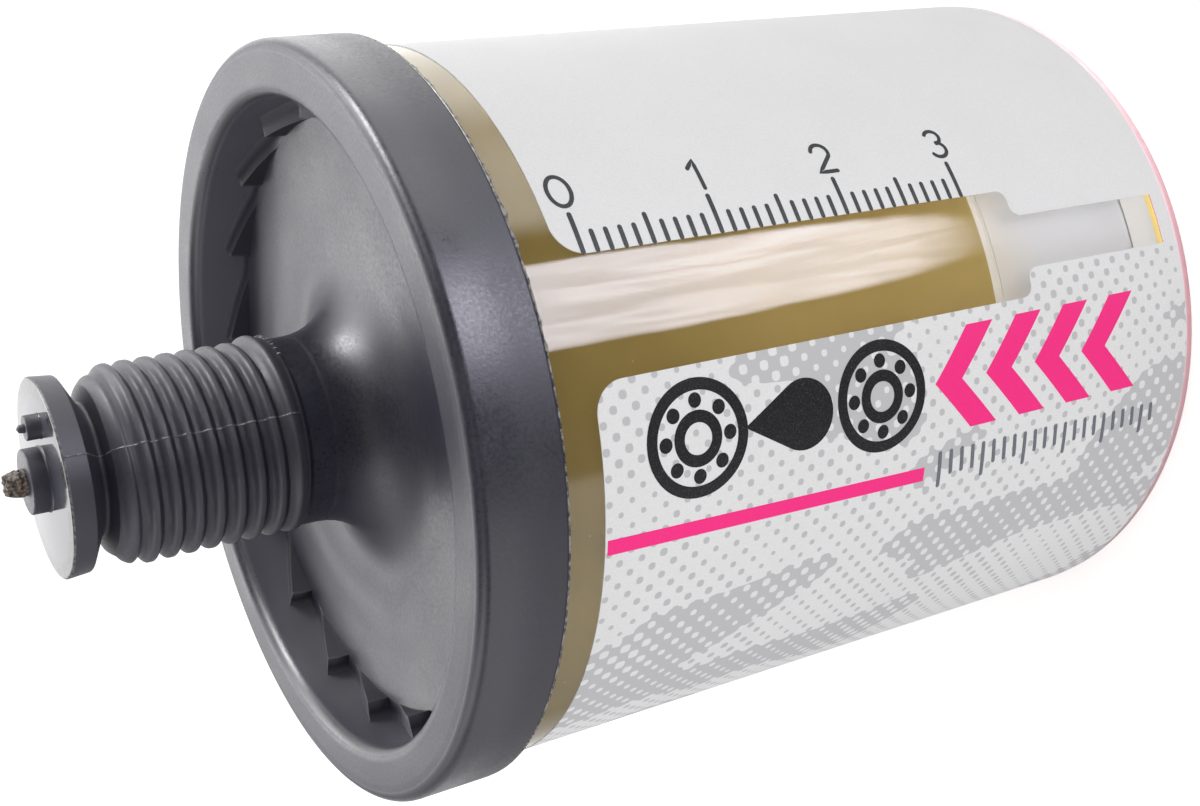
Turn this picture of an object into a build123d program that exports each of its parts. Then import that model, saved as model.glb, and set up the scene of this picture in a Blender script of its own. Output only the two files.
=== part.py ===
from build123d import *
import os
from math import cos, radians, sin

# Single-point automatic lubricator, gas driven, about 60 ml of grease.
# It stands on the rear edge of its reservoir: z = 0 is that edge, +z is the outlet axis.
# The front is -y, where the label leaves its sight window. Millimetres throughout.

os.makedirs("parts", exist_ok=True)

# ---------------------------------------------------------------- driving sizes

# Reservoir: a clear tube with a wall near its rear and a collar that takes the generator
reservoir_radius = 25.0
reservoir_wall = 1.3
rear_recess_depth = 2.1
rear_wall = 1.8
port_ledge_width = 5.7
port_collar_wall = 1.6
port_collar_height = 2.7
reservoir_edge_radius = 0.4

# Outlet cap: one moulding with its drive teeth, neck, threaded nipple and closing disc
cap_overhang = 1.0
cap_band_height = 5.8
cap_edge_radius = 1.3
cap_heel_radius = 0.25
cap_seat_depth = 3.0
cap_floor = 1.6
weld_gap = 0.03
cap_rim_width = 3.8
recess_depth = 4.7
recess_lip_radius = 0.4
tooth_count = 18
tooth_height = 2.2
tooth_length = 1.5
neck_radius = 6.4
neck_fillet = 5.0
thread_radius = 6.5785
thread_start = 2.0
thread_length = 10.8
thread_lead_in = 1.2
thread_lead_drop = 1.1
groove_radius = 4.25
groove_width = 0.6
closing_disc_radius = 6.5
closing_disc_edge = 1.5
closing_disc_bevel = 1.0
closing_disc_lip = 0.15
bore_radius = 3.6
bore_mouth_radius = 3.2
bore_past_groove = 0.5
boss_radius = 2.1
boss_height = 0.9
gate_radius = 1.15
gate_tip_radius = 0.7
gate_length = 1.6
side_boss_radius = 0.8
side_boss_height = 0.9
side_boss_circle_radius = 3.7
side_boss_angle = -35.0
side_pip_radius = 0.3
side_pip_length = 0.5

# Label: a wrapped sleeve whose two ends leave the sight window
label_thickness = 0.15
label_front_margin = 8.75
label_rear_margin = 0.95
window_half_width = 3.8
window_narrow_half_width = 1.85
window_step_height = 16.2
window_step_radius = 0.8
window_rear_height = 2.25
window_corner_radius = 2.0

# Piston with its seal ring; its travel sets the fill, and with it the height of the body
piston_travel = 30.7
piston_lid_gap = 1.6
piston_crown = 3.8
piston_play = 0.08
piston_relief = 0.27
piston_skirt = 1.75
piston_roof = 1.6
piston_nose_radius = 9.0
piston_nose_round = 6.0
piston_nose_gap = 0.3
piston_guide_height = 1.2
piston_rest_gap = 0.2
seal_height = 1.0
seal_depth = 1.0
seal_land = 0.45
seal_side_gap = 0.05
seal_edge_radius = 0.3

# Gas generator: housing that screws into the port, and its flat gasket
head_recess = 0.35
head_side_gap = 0.3
head_edge_radius = 0.5
gasket_thickness = 0.5
gasket_margin = 0.25
thread_play = 0.08
housing_wall = 1.32
housing_floor = 2.9
board_ledge_width = 1.6
board_ledge_height = 6.7
key_slot_width = 2.2
key_slot_length = 4.0
key_slot_depth = 1.0
key_slot_margin = 7.4

# Time dial in the middle of the head, set with a hexagon key
dial_radius = 6.97
dial_play = 0.08
dial_thickness = 1.55
dial_recess = 0.2
dial_boss_wall = 1.8
dial_boss_height = 2.1
stem_radius = 4.0
stem_pilot_radius = 2.6
stem_pilot_length = 0.5
hex_across_flats = 3.0
hex_depth = 3.0
arrow_depth = 0.3
arrow_tip = 6.2
arrow_tail = 2.3
arrow_half_width = 1.5
o_ring_section = 1.1
o_ring_gap = 0.05
o_ring_side_gap = 0.1
clip_thickness = 0.5
clip_groove_depth = 0.7
clip_overhang = 1.5
clip_gap = 0.07

# Board, wiper, resistors, cells and their contacts
board_thickness = 1.0
board_side_gap = 0.1
wiper_thickness = 0.2
wiper_resistor_gap = 2.475
wiper_arm_width = 2.0
wiper_hub_radius = 3.9
wiper_dimple_radius = 0.6
wiper_gap = 0.05
resistor_count = 6
resistor_length = 2.0
resistor_width = 1.25
resistor_height = 0.5
resistor_ledge_gap = 1.775
cell_radius = 5.8
cell_height = 5.4
cell_lip_radius = 4.6
cell_lip_height = 0.7
cell_edge_radius = 0.4
cell_spacing = 12.8
cell_pocket_gap = 0.15
holder_height = 4.3
spring_height = 0.5
spring_thickness = 0.15
spring_outer_radius = 4.4
spring_inner_radius = 1.6
strap_thickness = 0.2
strap_width = 4.6
strap_tail_width = 3.0
strap_tail_margin = 2.1
strap_notch_gap = 0.5
strap_lid_gap = 0.2

# Vented lid, membrane and membrane ring
lid_plug_depth = 1.0
lid_flange = 1.2
lid_side_gap = 0.1
lid_overhang = 0.2
vent_radius = 0.7
vent_circle = 3.2
vent_count = 6
membrane_radius = 6.9
membrane_thickness = 0.25
membrane_seat_gap = 0.1
membrane_ring_width = 1.3
membrane_ring_height = 0.65

# ---------------------------------------------------------------- shared values

bore_of_reservoir = reservoir_radius - reservoir_wall
rear_wall_inside = rear_recess_depth + rear_wall
port_radius = bore_of_reservoir - port_ledge_width

# The generator's stack, from the head up to the lid
head_top = rear_recess_depth - gasket_thickness
head_radius = bore_of_reservoir - head_side_gap
key_slot_radius = head_radius - key_slot_margin - key_slot_length / 2
housing_radius = port_radius - thread_play
housing_bore = housing_radius - housing_wall
board_ledge_radius = housing_bore - board_ledge_width
board_radius = housing_bore - board_side_gap
board_top = board_ledge_height + board_thickness
resistor_circle = board_ledge_radius - resistor_ledge_gap - resistor_width / 2
wiper_arm_length = resistor_circle - resistor_width / 2 - wiper_resistor_gap
cell_bottom = board_top + spring_height
cell_top = cell_bottom + cell_height
strap_top = cell_top + strap_thickness
strap_tail_radius = board_radius - strap_tail_margin
lid_bottom = strap_top + strap_lid_gap
housing_height = lid_bottom + lid_plug_depth
lid_top = housing_height + lid_flange
membrane_seat = lid_top - membrane_thickness - membrane_ring_height

# The dial's seat, its O-ring groove and its clip
dial_face = head_recess + dial_recess
dial_seat = dial_face + dial_thickness
dial_boss_top = housing_floor + dial_boss_height
stem_bore = stem_radius + dial_play
o_ring_groove_radius = stem_radius + o_ring_section + 2 * o_ring_gap
o_ring_height = (dial_seat + dial_boss_top) / 2
o_ring_groove_half = o_ring_section / 2 + o_ring_side_gap
clip_bottom = dial_boss_top + clip_gap
clip_top = clip_bottom + clip_thickness
stem_top = clip_top + 2 * clip_gap

# The piston stands over the lid, and the body ends one travel above it
piston_radius = bore_of_reservoir - piston_relief
piston_guide_radius = bore_of_reservoir - piston_play
piston_bottom = rear_wall_inside + piston_rest_gap
piston_shoulder = lid_top + piston_lid_gap + piston_roof
piston_nose = piston_shoulder + piston_crown
seal_top = piston_shoulder - seal_land
seal_bottom = seal_top - seal_height
cap_inside = piston_nose + piston_travel + piston_nose_gap
recess_floor = cap_inside + cap_floor
body_height = recess_floor + recess_depth

# The outlet cap and its nipple
cap_radius = reservoir_radius + cap_overhang
recess_radius = cap_radius - cap_rim_width
cap_heel = body_height - cap_band_height
reservoir_front = cap_heel + cap_seat_depth
thread_bottom = body_height + thread_start
thread_top = thread_bottom + thread_length
groove_bottom = thread_top + thread_lead_in
groove_top = groove_bottom + groove_width
disc_back = groove_top + closing_disc_bevel
disc_face = disc_back + closing_disc_edge
bore_end = groove_top + bore_past_groove

label_front = body_height - label_front_margin


# ---------------------------------------------------------------- reservoir

with BuildPart() as reservoir:
    with BuildSketch(Plane.XZ):
        with BuildLine():
            FilletPolyline(
                (bore_of_reservoir, 0),
                (reservoir_radius, 0),
                (reservoir_radius, reservoir_front),
                (bore_of_reservoir, reservoir_front),
                (bore_of_reservoir, rear_wall_inside),
                (port_radius + port_collar_wall, rear_wall_inside),
                (port_radius + port_collar_wall, rear_wall_inside + port_collar_height),
                (port_radius, rear_wall_inside + port_collar_height),
                (port_radius, rear_recess_depth),
                (bore_of_reservoir, rear_recess_depth),
                radius=[0, reservoir_edge_radius, 0, 0, 0, reservoir_edge_radius, 0, 0, 0, 0],
                close=True,
            )
        make_face()
    revolve(axis=Axis.Z)
reservoir.part.label = "reservoir"
export_step(reservoir.part, "parts/reservoir.step")

# ---------------------------------------------------------------- outlet cap

# One drive tooth: a ramp that climbs anticlockwise and drops square to the next
tooth_pitch = 360 / tooth_count
tooth_inner = recess_radius - tooth_length
tooth_run = recess_radius * sin(radians(tooth_pitch / 2))
with BuildPart() as drive_tooth:
    with BuildSketch(Plane.XZ.offset(tooth_inner * cos(radians(tooth_pitch / 2)))):
        with BuildLine():
            Polyline(
                (-tooth_run, recess_floor - cap_floor / 2),
                (tooth_run, recess_floor - cap_floor / 2),
                (tooth_run, recess_floor + tooth_height),
                (-tooth_run, recess_floor),
                close=True,
            )
        make_face()
    extrude(amount=tooth_length + tooth_inner - tooth_inner * cos(radians(tooth_pitch / 2)))
    with BuildSketch():
        Circle(recess_radius + reservoir_wall / 2)
        Circle(tooth_inner, mode=Mode.SUBTRACT)
    extrude(amount=body_height, mode=Mode.INTERSECT)

with BuildPart() as outlet_cap:
    with BuildSketch(Plane.XZ):
        with BuildLine():
            FilletPolyline(
                (0, disc_face),
                (0, bore_end + bore_radius / 2),
                (bore_radius, bore_end),
                (bore_radius, cap_inside),
                (bore_of_reservoir - weld_gap, cap_inside),
                (bore_of_reservoir - weld_gap, reservoir_front + weld_gap),
                (reservoir_radius + weld_gap, reservoir_front + weld_gap),
                (reservoir_radius + weld_gap, cap_heel),
                (cap_radius, cap_heel),
                (cap_radius, body_height),
                (recess_radius, body_height),
                (recess_radius, recess_floor),
                (neck_radius, recess_floor),
                (neck_radius, thread_bottom),
                (thread_radius, thread_bottom),
                (thread_radius, thread_top),
                (thread_radius - thread_lead_drop, groove_bottom),
                (groove_radius, (groove_bottom + groove_top) / 2),
                (groove_radius + closing_disc_lip, groove_top),
                (closing_disc_radius - closing_disc_lip, disc_back),
                (closing_disc_radius, disc_face),
                radius=[
                    0, 0, 0, bore_mouth_radius, 0, 0, 0, 0,
                    cap_heel_radius, cap_edge_radius, recess_lip_radius, 0,
                    neck_fillet, 0, 0, 0, 0, 0, 0, 0, closing_disc_lip,
                ],
                close=True,
            )
        make_face()
    revolve(axis=Axis.Z)
    with PolarLocations(0, tooth_count, start_angle=90 + tooth_pitch / 2):
        add(drive_tooth.part)
    # Moulding marks on the closing disc: the gate's boss with its broken stub, and a side boss
    with BuildSketch(Plane.XY.offset(disc_face)):
        Circle(boss_radius)
        with PolarLocations(side_boss_circle_radius, 1, start_angle=side_boss_angle):
            Circle(side_boss_radius)
    extrude(amount=boss_height)
    with BuildSketch(Plane.XY.offset(disc_face + side_boss_height)):
        with PolarLocations(side_boss_circle_radius, 1, start_angle=side_boss_angle):
            Circle(side_pip_radius)
    extrude(amount=side_pip_length)
    with Locations((0, 0, disc_face + boss_height)):
        Cone(gate_radius, gate_tip_radius, gate_length, align=(Align.CENTER, Align.CENTER, Align.MIN))
outlet_cap.part.label = "outlet_cap"
export_step(outlet_cap.part, "parts/outlet_cap.step")

# ---------------------------------------------------------------- label

with BuildPart() as label:
    with BuildSketch(Plane.XZ):
        with Locations((reservoir_radius, label_rear_margin)):
            Rectangle(
                label_thickness,
                label_front - label_rear_margin,
                align=(Align.MIN, Align.MIN),
            )
    revolve(axis=Axis.Z)
    # The sight window: open at the front, with rounded front corners, and narrower behind the step
    with BuildSketch(Plane.XZ.offset(reservoir_radius / 2)):
        with BuildLine():
            FilletPolyline(
                (-window_narrow_half_width, window_rear_height),
                (window_narrow_half_width, window_rear_height),
                (window_narrow_half_width, window_step_height),
                (window_half_width, window_step_height),
                (window_half_width, label_front),
                (window_half_width + 2 * window_corner_radius, label_front),
                (window_half_width + 2 * window_corner_radius, body_height),
                (-window_half_width - 2 * window_corner_radius, body_height),
                (-window_half_width - 2 * window_corner_radius, label_front),
                (-window_half_width, label_front),
                (-window_half_width, window_step_height),
                (-window_narrow_half_width, window_step_height),
                radius=[
                    0, 0, window_step_radius, window_step_radius, window_corner_radius, 0,
                    0, 0, 0, window_corner_radius, window_step_radius, window_step_radius,
                ],
                close=True,
            )
        make_face()
    extrude(amount=reservoir_radius, mode=Mode.SUBTRACT)
label.part.label = "label"
export_step(label.part, "parts/label.step")

# ---------------------------------------------------------------- piston and seal

with BuildPart() as piston:
    with BuildSketch(Plane.XZ):
        with BuildLine():
            FilletPolyline(
                (0, piston_nose),
                (piston_nose_radius, piston_nose),
                (piston_radius, piston_shoulder),
                (piston_radius, seal_top + seal_side_gap),
                (piston_radius - seal_depth, seal_top + seal_side_gap),
                (piston_radius - seal_depth, seal_bottom - seal_side_gap),
                (piston_radius, seal_bottom - seal_side_gap),
                (piston_radius, piston_bottom + piston_guide_height + piston_relief),
                (piston_guide_radius, piston_bottom + piston_guide_height),
                (piston_guide_radius, piston_bottom),
                (piston_radius - piston_skirt, piston_bottom),
                (piston_radius - piston_skirt, piston_shoulder - piston_roof),
                (piston_nose_radius, piston_nose - piston_roof),
                (0, piston_nose - piston_roof),
                radius=[
                    0, piston_nose_round, 0, 0, 0, 0, 0, 0, 0, 0, 0, 0, piston_nose_round, 0,
                ],
                close=True,
            )
        make_face()
    revolve(axis=Axis.Z)
piston.part.label = "piston"
export_step(piston.part, "parts/piston.step")

seal_inside = piston_radius - seal_depth + seal_side_gap
with BuildPart() as piston_seal:
    with BuildSketch(Plane.XZ):
        with Locations((seal_inside, seal_bottom)):
            Rectangle(
                piston_guide_radius - seal_inside,
                seal_height,
                align=(Align.MIN, Align.MIN),
            )
        fillet(vertices().group_by(Axis.X)[-1], seal_edge_radius)
    revolve(axis=Axis.Z)
piston_seal.part.label = "piston_seal"
export_step(piston_seal.part, "parts/piston_seal.step")

# ---------------------------------------------------------------- grease fill

grease_gap = 0.1
with BuildPart() as grease_fill:
    with BuildSketch(Plane.XZ):
        with BuildLine():
            FilletPolyline(
                (0, cap_inside - grease_gap),
                (0, piston_nose + grease_gap),
                (piston_nose_radius, piston_nose + grease_gap),
                (bore_of_reservoir - grease_gap, piston_shoulder + grease_gap),
                (bore_of_reservoir - grease_gap, cap_inside - grease_gap),
                radius=[0, 0, piston_nose_round, 0, 0],
                close=True,
            )
        make_face()
    revolve(axis=Axis.Z)
grease_fill.part.label = "grease_fill"
export_step(grease_fill.part, "parts/grease_fill.step")

# ---------------------------------------------------------------- gas generator housing

with BuildPart() as generator_housing:
    with BuildSketch(Plane.XZ):
        with BuildLine():
            FilletPolyline(
                (dial_radius + dial_play, head_recess),
                (head_radius, head_recess),
                (head_radius, head_top),
                (housing_radius, head_top),
                (housing_radius, housing_height),
                (housing_bore, housing_height),
                (housing_bore, board_ledge_height),
                (board_ledge_radius, board_ledge_height),
                (board_ledge_radius, housing_floor),
                (stem_bore + dial_boss_wall, housing_floor),
                (stem_bore + dial_boss_wall, dial_boss_top),
                (stem_bore, dial_boss_top),
                (stem_bore, o_ring_height + o_ring_groove_half),
                (o_ring_groove_radius, o_ring_height + o_ring_groove_half),
                (o_ring_groove_radius, o_ring_height - o_ring_groove_half),
                (stem_bore, o_ring_height - o_ring_groove_half),
                (stem_bore, dial_seat),
                (dial_radius + dial_play, dial_seat),
                radius=[0, head_edge_radius, 0, 0, 0, 0, 0, 0, 0, 0, 0, 0, 0, 0, 0, 0, 0, 0],
                close=True,
            )
        make_face()
    revolve(axis=Axis.Z)
    # Slots in the head for the two-pin key that unscrews the unit
    with BuildSketch(Plane.XY.offset(head_recess)):
        with PolarLocations(key_slot_radius, 2, start_angle=0):
            SlotOverall(key_slot_length, key_slot_width)
    extrude(amount=key_slot_depth, mode=Mode.SUBTRACT)
generator_housing.part.label = "generator_housing"
export_step(generator_housing.part, "parts/generator_housing.step")

with BuildPart() as head_gasket:
    with BuildSketch(Plane.XY.offset(head_top)):
        Circle(head_radius - gasket_margin)
        Circle(port_radius + gasket_margin, mode=Mode.SUBTRACT)
    extrude(amount=gasket_thickness)
head_gasket.part.label = "head_gasket"
export_step(head_gasket.part, "parts/head_gasket.step")

# ---------------------------------------------------------------- time dial

with BuildPart() as time_dial:
    with BuildSketch(Plane.XZ):
        with BuildLine():
            Polyline(
                (0, dial_face),
                (dial_radius, dial_face),
                (dial_radius, dial_seat),
                (stem_radius, dial_seat),
                (stem_radius, clip_bottom),
                (stem_radius - clip_groove_depth, clip_bottom),
                (stem_radius - clip_groove_depth, clip_top),
                (stem_radius, clip_top),
                (stem_radius, stem_top),
                (stem_pilot_radius, stem_top),
                (stem_pilot_radius, stem_top + stem_pilot_length),
                (0, stem_top + stem_pilot_length),
                close=True,
            )
        make_face()
    revolve(axis=Axis.Z)
    with BuildSketch(Plane.XY.offset(dial_face)):
        RegularPolygon(hex_across_flats / 2, 6, major_radius=False)
    extrude(amount=hex_depth, mode=Mode.SUBTRACT)
    with BuildSketch(Plane.XY.offset(dial_face)):
        with BuildLine():
            Polyline(
                (0, -arrow_tip),
                (arrow_half_width, -(arrow_tip + arrow_tail) / 2),
                (arrow_half_width / 3, -(arrow_tip + arrow_tail) / 2),
                (arrow_half_width / 3, -arrow_tail),
                (-arrow_half_width / 3, -arrow_tail),
                (-arrow_half_width / 3, -(arrow_tip + arrow_tail) / 2),
                (-arrow_half_width, -(arrow_tip + arrow_tail) / 2),
                close=True,
            )
        make_face()
    extrude(amount=arrow_depth, mode=Mode.SUBTRACT)
time_dial.part.label = "time_dial"
export_step(time_dial.part, "parts/time_dial.step")

o_ring_centre = stem_radius + o_ring_gap + o_ring_section / 2
with BuildPart() as dial_o_ring:
    with Locations((0, 0, o_ring_height)):
        Torus(o_ring_centre, o_ring_section / 2)
dial_o_ring.part.label = "dial_o_ring"
export_step(dial_o_ring.part, "parts/dial_o_ring.step")

clip_inner = stem_radius - clip_groove_depth
clip_outer = stem_radius + clip_overhang
with BuildPart() as dial_clip:
    with BuildSketch(Plane.XY.offset(clip_bottom)):
        Circle(clip_outer)
        Circle(clip_inner, mode=Mode.SUBTRACT)
        with Locations((0, clip_outer)):
            Rectangle(clip_inner, 2 * clip_outer, mode=Mode.SUBTRACT)
    extrude(amount=clip_thickness)
dial_clip.part.label = "dial_clip"
export_step(dial_clip.part, "parts/dial_clip.step")

wiper_bottom = stem_top
wiper_top = wiper_bottom + wiper_thickness
dimple_height = board_ledge_height - wiper_gap - wiper_top
with BuildPart() as wiper_contact:
    with BuildSketch(Plane.XY.offset(wiper_bottom)):
        Circle(wiper_hub_radius)
        with PolarLocations(wiper_arm_length / 2, 3, start_angle=-90):
            SlotOverall(wiper_arm_length, wiper_arm_width)
        Circle(stem_pilot_radius, mode=Mode.SUBTRACT)
    extrude(amount=wiper_thickness)
    with BuildSketch(Plane.XY.offset(wiper_top)):
        with PolarLocations(wiper_arm_length - wiper_arm_width / 2, 3, start_angle=-90):
            Circle(wiper_dimple_radius)
    extrude(amount=dimple_height, taper=15)
wiper_contact.part.label = "wiper_contact"
export_step(wiper_contact.part, "parts/wiper_contact.step")

# ---------------------------------------------------------------- board and resistors

with BuildPart() as circuit_board:
    with BuildSketch(Plane.XY.offset(board_ledge_height)):
        Circle(board_radius)
        with Locations((0, board_radius)):
            Rectangle(strap_tail_width, board_side_gap * 4, mode=Mode.SUBTRACT)
    extrude(amount=board_thickness)
circuit_board.part.label = "circuit_board"
export_step(circuit_board.part, "parts/circuit_board.step")

with BuildPart() as resistors:
    with BuildSketch(Plane.XY.offset(board_ledge_height)):
        with PolarLocations(resistor_circle, resistor_count, start_angle=-90, angular_range=300):
            Rectangle(resistor_width, resistor_length)
    extrude(amount=-resistor_height)
resistors.part.label = "resistors"
export_step(resistors.part, "parts/resistors.step")

# ---------------------------------------------------------------- cells, holder and contacts

with BuildPart() as cell_holder:
    with BuildSketch(Plane.XY.offset(board_top)):
        Circle(board_radius)
        with GridLocations(cell_spacing, 0, 2, 1):
            Circle(cell_radius + cell_pocket_gap, mode=Mode.SUBTRACT)
        with Locations((0, board_radius)):
            Rectangle(
                strap_tail_width + 2 * strap_notch_gap,
                2 * (board_radius - strap_tail_radius + strap_thickness + strap_notch_gap),
                mode=Mode.SUBTRACT,
            )
    extrude(amount=holder_height)
cell_holder.part.label = "cell_holder"
export_step(cell_holder.part, "parts/cell_holder.step")

for index, side in enumerate((-1, 1), start=1):
    with BuildPart() as gas_cell:
        with BuildSketch(Plane.XZ):
            with BuildLine():
                FilletPolyline(
                    (0, cell_bottom),
                    (cell_lip_radius, cell_bottom),
                    (cell_lip_radius, cell_bottom + cell_lip_height),
                    (cell_radius, cell_bottom + cell_lip_height),
                    (cell_radius, cell_top),
                    (0, cell_top),
                    radius=[0, cell_edge_radius, 0, cell_edge_radius / 2, cell_edge_radius, 0],
                    close=True,
                )
            make_face()
        revolve(axis=Axis.Z)
    placed_cell = Pos(side * cell_spacing / 2, 0, 0) * gas_cell.part
    placed_cell.label = f"gas_cell_{index}"
    export_step(placed_cell, f"parts/gas_cell_{index}.step")

    with BuildPart() as cell_spring:
        with BuildSketch(Plane.XZ):
            with BuildLine():
                Polyline(
                    (spring_outer_radius, board_top),
                    (spring_outer_radius, board_top + spring_thickness),
                    (spring_inner_radius, cell_bottom),
                    (spring_inner_radius, cell_bottom - spring_thickness),
                    close=True,
                )
            make_face()
        revolve(axis=Axis.Z)
    placed_spring = Pos(side * cell_spacing / 2, 0, 0) * cell_spring.part
    placed_spring.label = f"cell_spring_{index}"
    export_step(placed_spring, f"parts/cell_spring_{index}.step")

with BuildPart() as cell_bridge:
    with BuildSketch(Plane.XY.offset(cell_top)):
        SlotOverall(cell_spacing + cell_radius, strap_width)
        with Locations((0, 0)):
            Rectangle(strap_tail_width, strap_tail_radius, align=(Align.CENTER, Align.MIN))
    extrude(amount=strap_thickness)
    with BuildSketch(Plane.XY.offset(board_top)):
        with Locations((0, strap_tail_radius)):
            Rectangle(strap_tail_width, strap_thickness, align=(Align.CENTER, Align.MAX))
    extrude(amount=strap_top - board_top)
cell_bridge.part.label = "cell_bridge"
export_step(cell_bridge.part, "parts/cell_bridge.step")

# ---------------------------------------------------------------- lid, membrane and its ring

with BuildPart() as generator_lid:
    with BuildSketch(Plane.XZ):
        with BuildLine():
            Polyline(
                (0, lid_bottom),
                (housing_bore - lid_side_gap, lid_bottom),
                (housing_bore - lid_side_gap, housing_height),
                (housing_radius - lid_overhang, housing_height),
                (housing_radius - lid_overhang, lid_top),
                (membrane_radius + membrane_seat_gap, lid_top),
                (membrane_radius + membrane_seat_gap, membrane_seat),
                (0, membrane_seat),
                close=True,
            )
        make_face()
    revolve(axis=Axis.Z)
    with BuildSketch(Plane.XY.offset(lid_bottom)):
        Circle(vent_radius)
        with PolarLocations(vent_circle, vent_count):
            Circle(vent_radius)
    extrude(amount=lid_plug_depth + lid_flange, mode=Mode.SUBTRACT)
generator_lid.part.label = "generator_lid"
export_step(generator_lid.part, "parts/generator_lid.step")

with BuildPart() as vent_membrane:
    with BuildSketch(Plane.XY.offset(membrane_seat)):
        Circle(membrane_radius)
    extrude(amount=membrane_thickness)
vent_membrane.part.label = "vent_membrane"
export_step(vent_membrane.part, "parts/vent_membrane.step")

with BuildPart() as membrane_ring:
    with BuildSketch(Plane.XY.offset(membrane_seat + membrane_thickness)):
        Circle(membrane_radius)
        Circle(membrane_radius - membrane_ring_width, mode=Mode.SUBTRACT)
    extrude(amount=membrane_ring_height)
membrane_ring.part.label = "membrane_ring"
export_step(membrane_ring.part, "parts/membrane_ring.step")
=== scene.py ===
import math
import random

import bmesh
import bpy
import numpy as np
from mathutils import Matrix, Vector


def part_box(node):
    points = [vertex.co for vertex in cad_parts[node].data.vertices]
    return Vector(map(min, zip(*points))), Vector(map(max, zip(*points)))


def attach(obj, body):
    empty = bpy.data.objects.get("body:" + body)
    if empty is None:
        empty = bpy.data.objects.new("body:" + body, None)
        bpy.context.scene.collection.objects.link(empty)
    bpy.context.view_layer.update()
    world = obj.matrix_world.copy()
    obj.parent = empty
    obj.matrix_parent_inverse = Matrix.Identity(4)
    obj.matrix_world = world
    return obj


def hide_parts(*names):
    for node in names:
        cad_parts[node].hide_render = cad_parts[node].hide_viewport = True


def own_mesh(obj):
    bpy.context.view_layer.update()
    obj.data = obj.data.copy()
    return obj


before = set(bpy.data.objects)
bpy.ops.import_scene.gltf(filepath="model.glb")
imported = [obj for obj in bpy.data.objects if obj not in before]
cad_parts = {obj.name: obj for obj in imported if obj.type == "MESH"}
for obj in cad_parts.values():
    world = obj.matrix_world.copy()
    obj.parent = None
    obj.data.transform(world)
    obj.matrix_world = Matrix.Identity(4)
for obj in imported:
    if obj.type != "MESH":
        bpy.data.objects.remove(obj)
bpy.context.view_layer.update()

# Automatic lubricator. It stands on the rear edge of its reservoir, outlet up.
# Sizes are millimetres until a mesh is made; the front, with the sight window, is -y.

MM = 0.001


# ---------------------------------------------------------------- sizes

def reach(node):
    """How far a round CAD node reaches from the outlet axis."""
    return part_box(node)[1].x / MM


def low(node):
    """The lowest height of a CAD node."""
    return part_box(node)[0].z / MM


def high(node):
    """The highest height of a CAD node."""
    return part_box(node)[1].z / MM


# Outlet cap
cap_radius = reach("outlet_cap")
label_to_rim = 8.75
rim_height = high("label") + label_to_rim
cap_band_height = 5.8
cap_edge_radius = 0.78
cap_heel_radius = 0.25
cap_heel = rim_height - cap_band_height
cap_inside = low("outlet_cap")
mould_line_radius = 25.2
mould_line_step = 0.03
recess_radius = 22.2
recess_lip_radius = 1.0
recess_floor = 55.8
weld_gap = 0.03
tooth_count = 18
tooth_inner_radius = 20.7
tooth_height = 2.2
tooth_round = 0.04
dish_rise = 0.6
dish_start = 14.2
tooth_drop_azimuth = 0.5
neck_radius = 6.4
neck_fillet = 5.0
bore_radius = 3.6
bore_mouth_radius = 3.2

# Nipple: G 1/4 thread, collar, break-off groove and closing disc
thread_radius = 6.5785
thread_pitch = 1.366
thread_depth = 0.46
thread_shift = -0.32
thread_bottom = 62.5
thread_top = 73.3
collar_top = 74.5
collar_radius = 5.4785
groove_radius = 4.25
groove_top = 75.1
disc_back = 76.1
disc_face = 77.6
disc_radius = 6.5
disc_lip = 0.15
boss_radius = 2.1
boss_height = 0.9
gate_radius = 0.86
gate_tip_radius = 0.62
gate_boss_height = 1.15
gate_top = high("outlet_cap")
side_boss_radius = 0.8
side_boss_circle = 3.7
side_boss_azimuth = -35.0
side_pip_radius = 0.3
side_pip_length = 0.5
parting_azimuth = -88.0

# Reservoir, label and what they hold
reservoir_radius = reach("reservoir")
reservoir_wall = 1.3
reservoir_bore = reservoir_radius - reservoir_wall
reservoir_front = high("reservoir")
rear_recess_depth = high("head_gasket")
rear_wall_top = rear_recess_depth + 1.8
port_radius = 18.0
port_collar_radius = 19.6
port_collar_top = rear_wall_top + 2.7
label_radius = reach("reservoir") + 0.06
label_rear = low("label")
label_front = high("label")
window_azimuth = -90.0
window_half_width = 3.8
window_narrow_half_width = 1.85
window_step_height = 16.2
window_step_radius = 0.8
window_rear_height = 2.25
window_corner_radius = 2.0

# Piston and its seal ring
piston_radius = reservoir_bore - 0.27
piston_guide_radius = reservoir_bore - 0.08
piston_bottom = low("piston")
piston_nose = high("piston")
piston_shoulder = piston_nose - 3.8
piston_nose_radius = 9.0
piston_nose_round = 6.0
piston_wall = 1.75
piston_roof = 1.6
grease_wetting = 0.02
seal_bottom = low("piston_seal")
seal_top = high("piston_seal")


# ---------------------------------------------------------------- outlines and meshes

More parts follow.
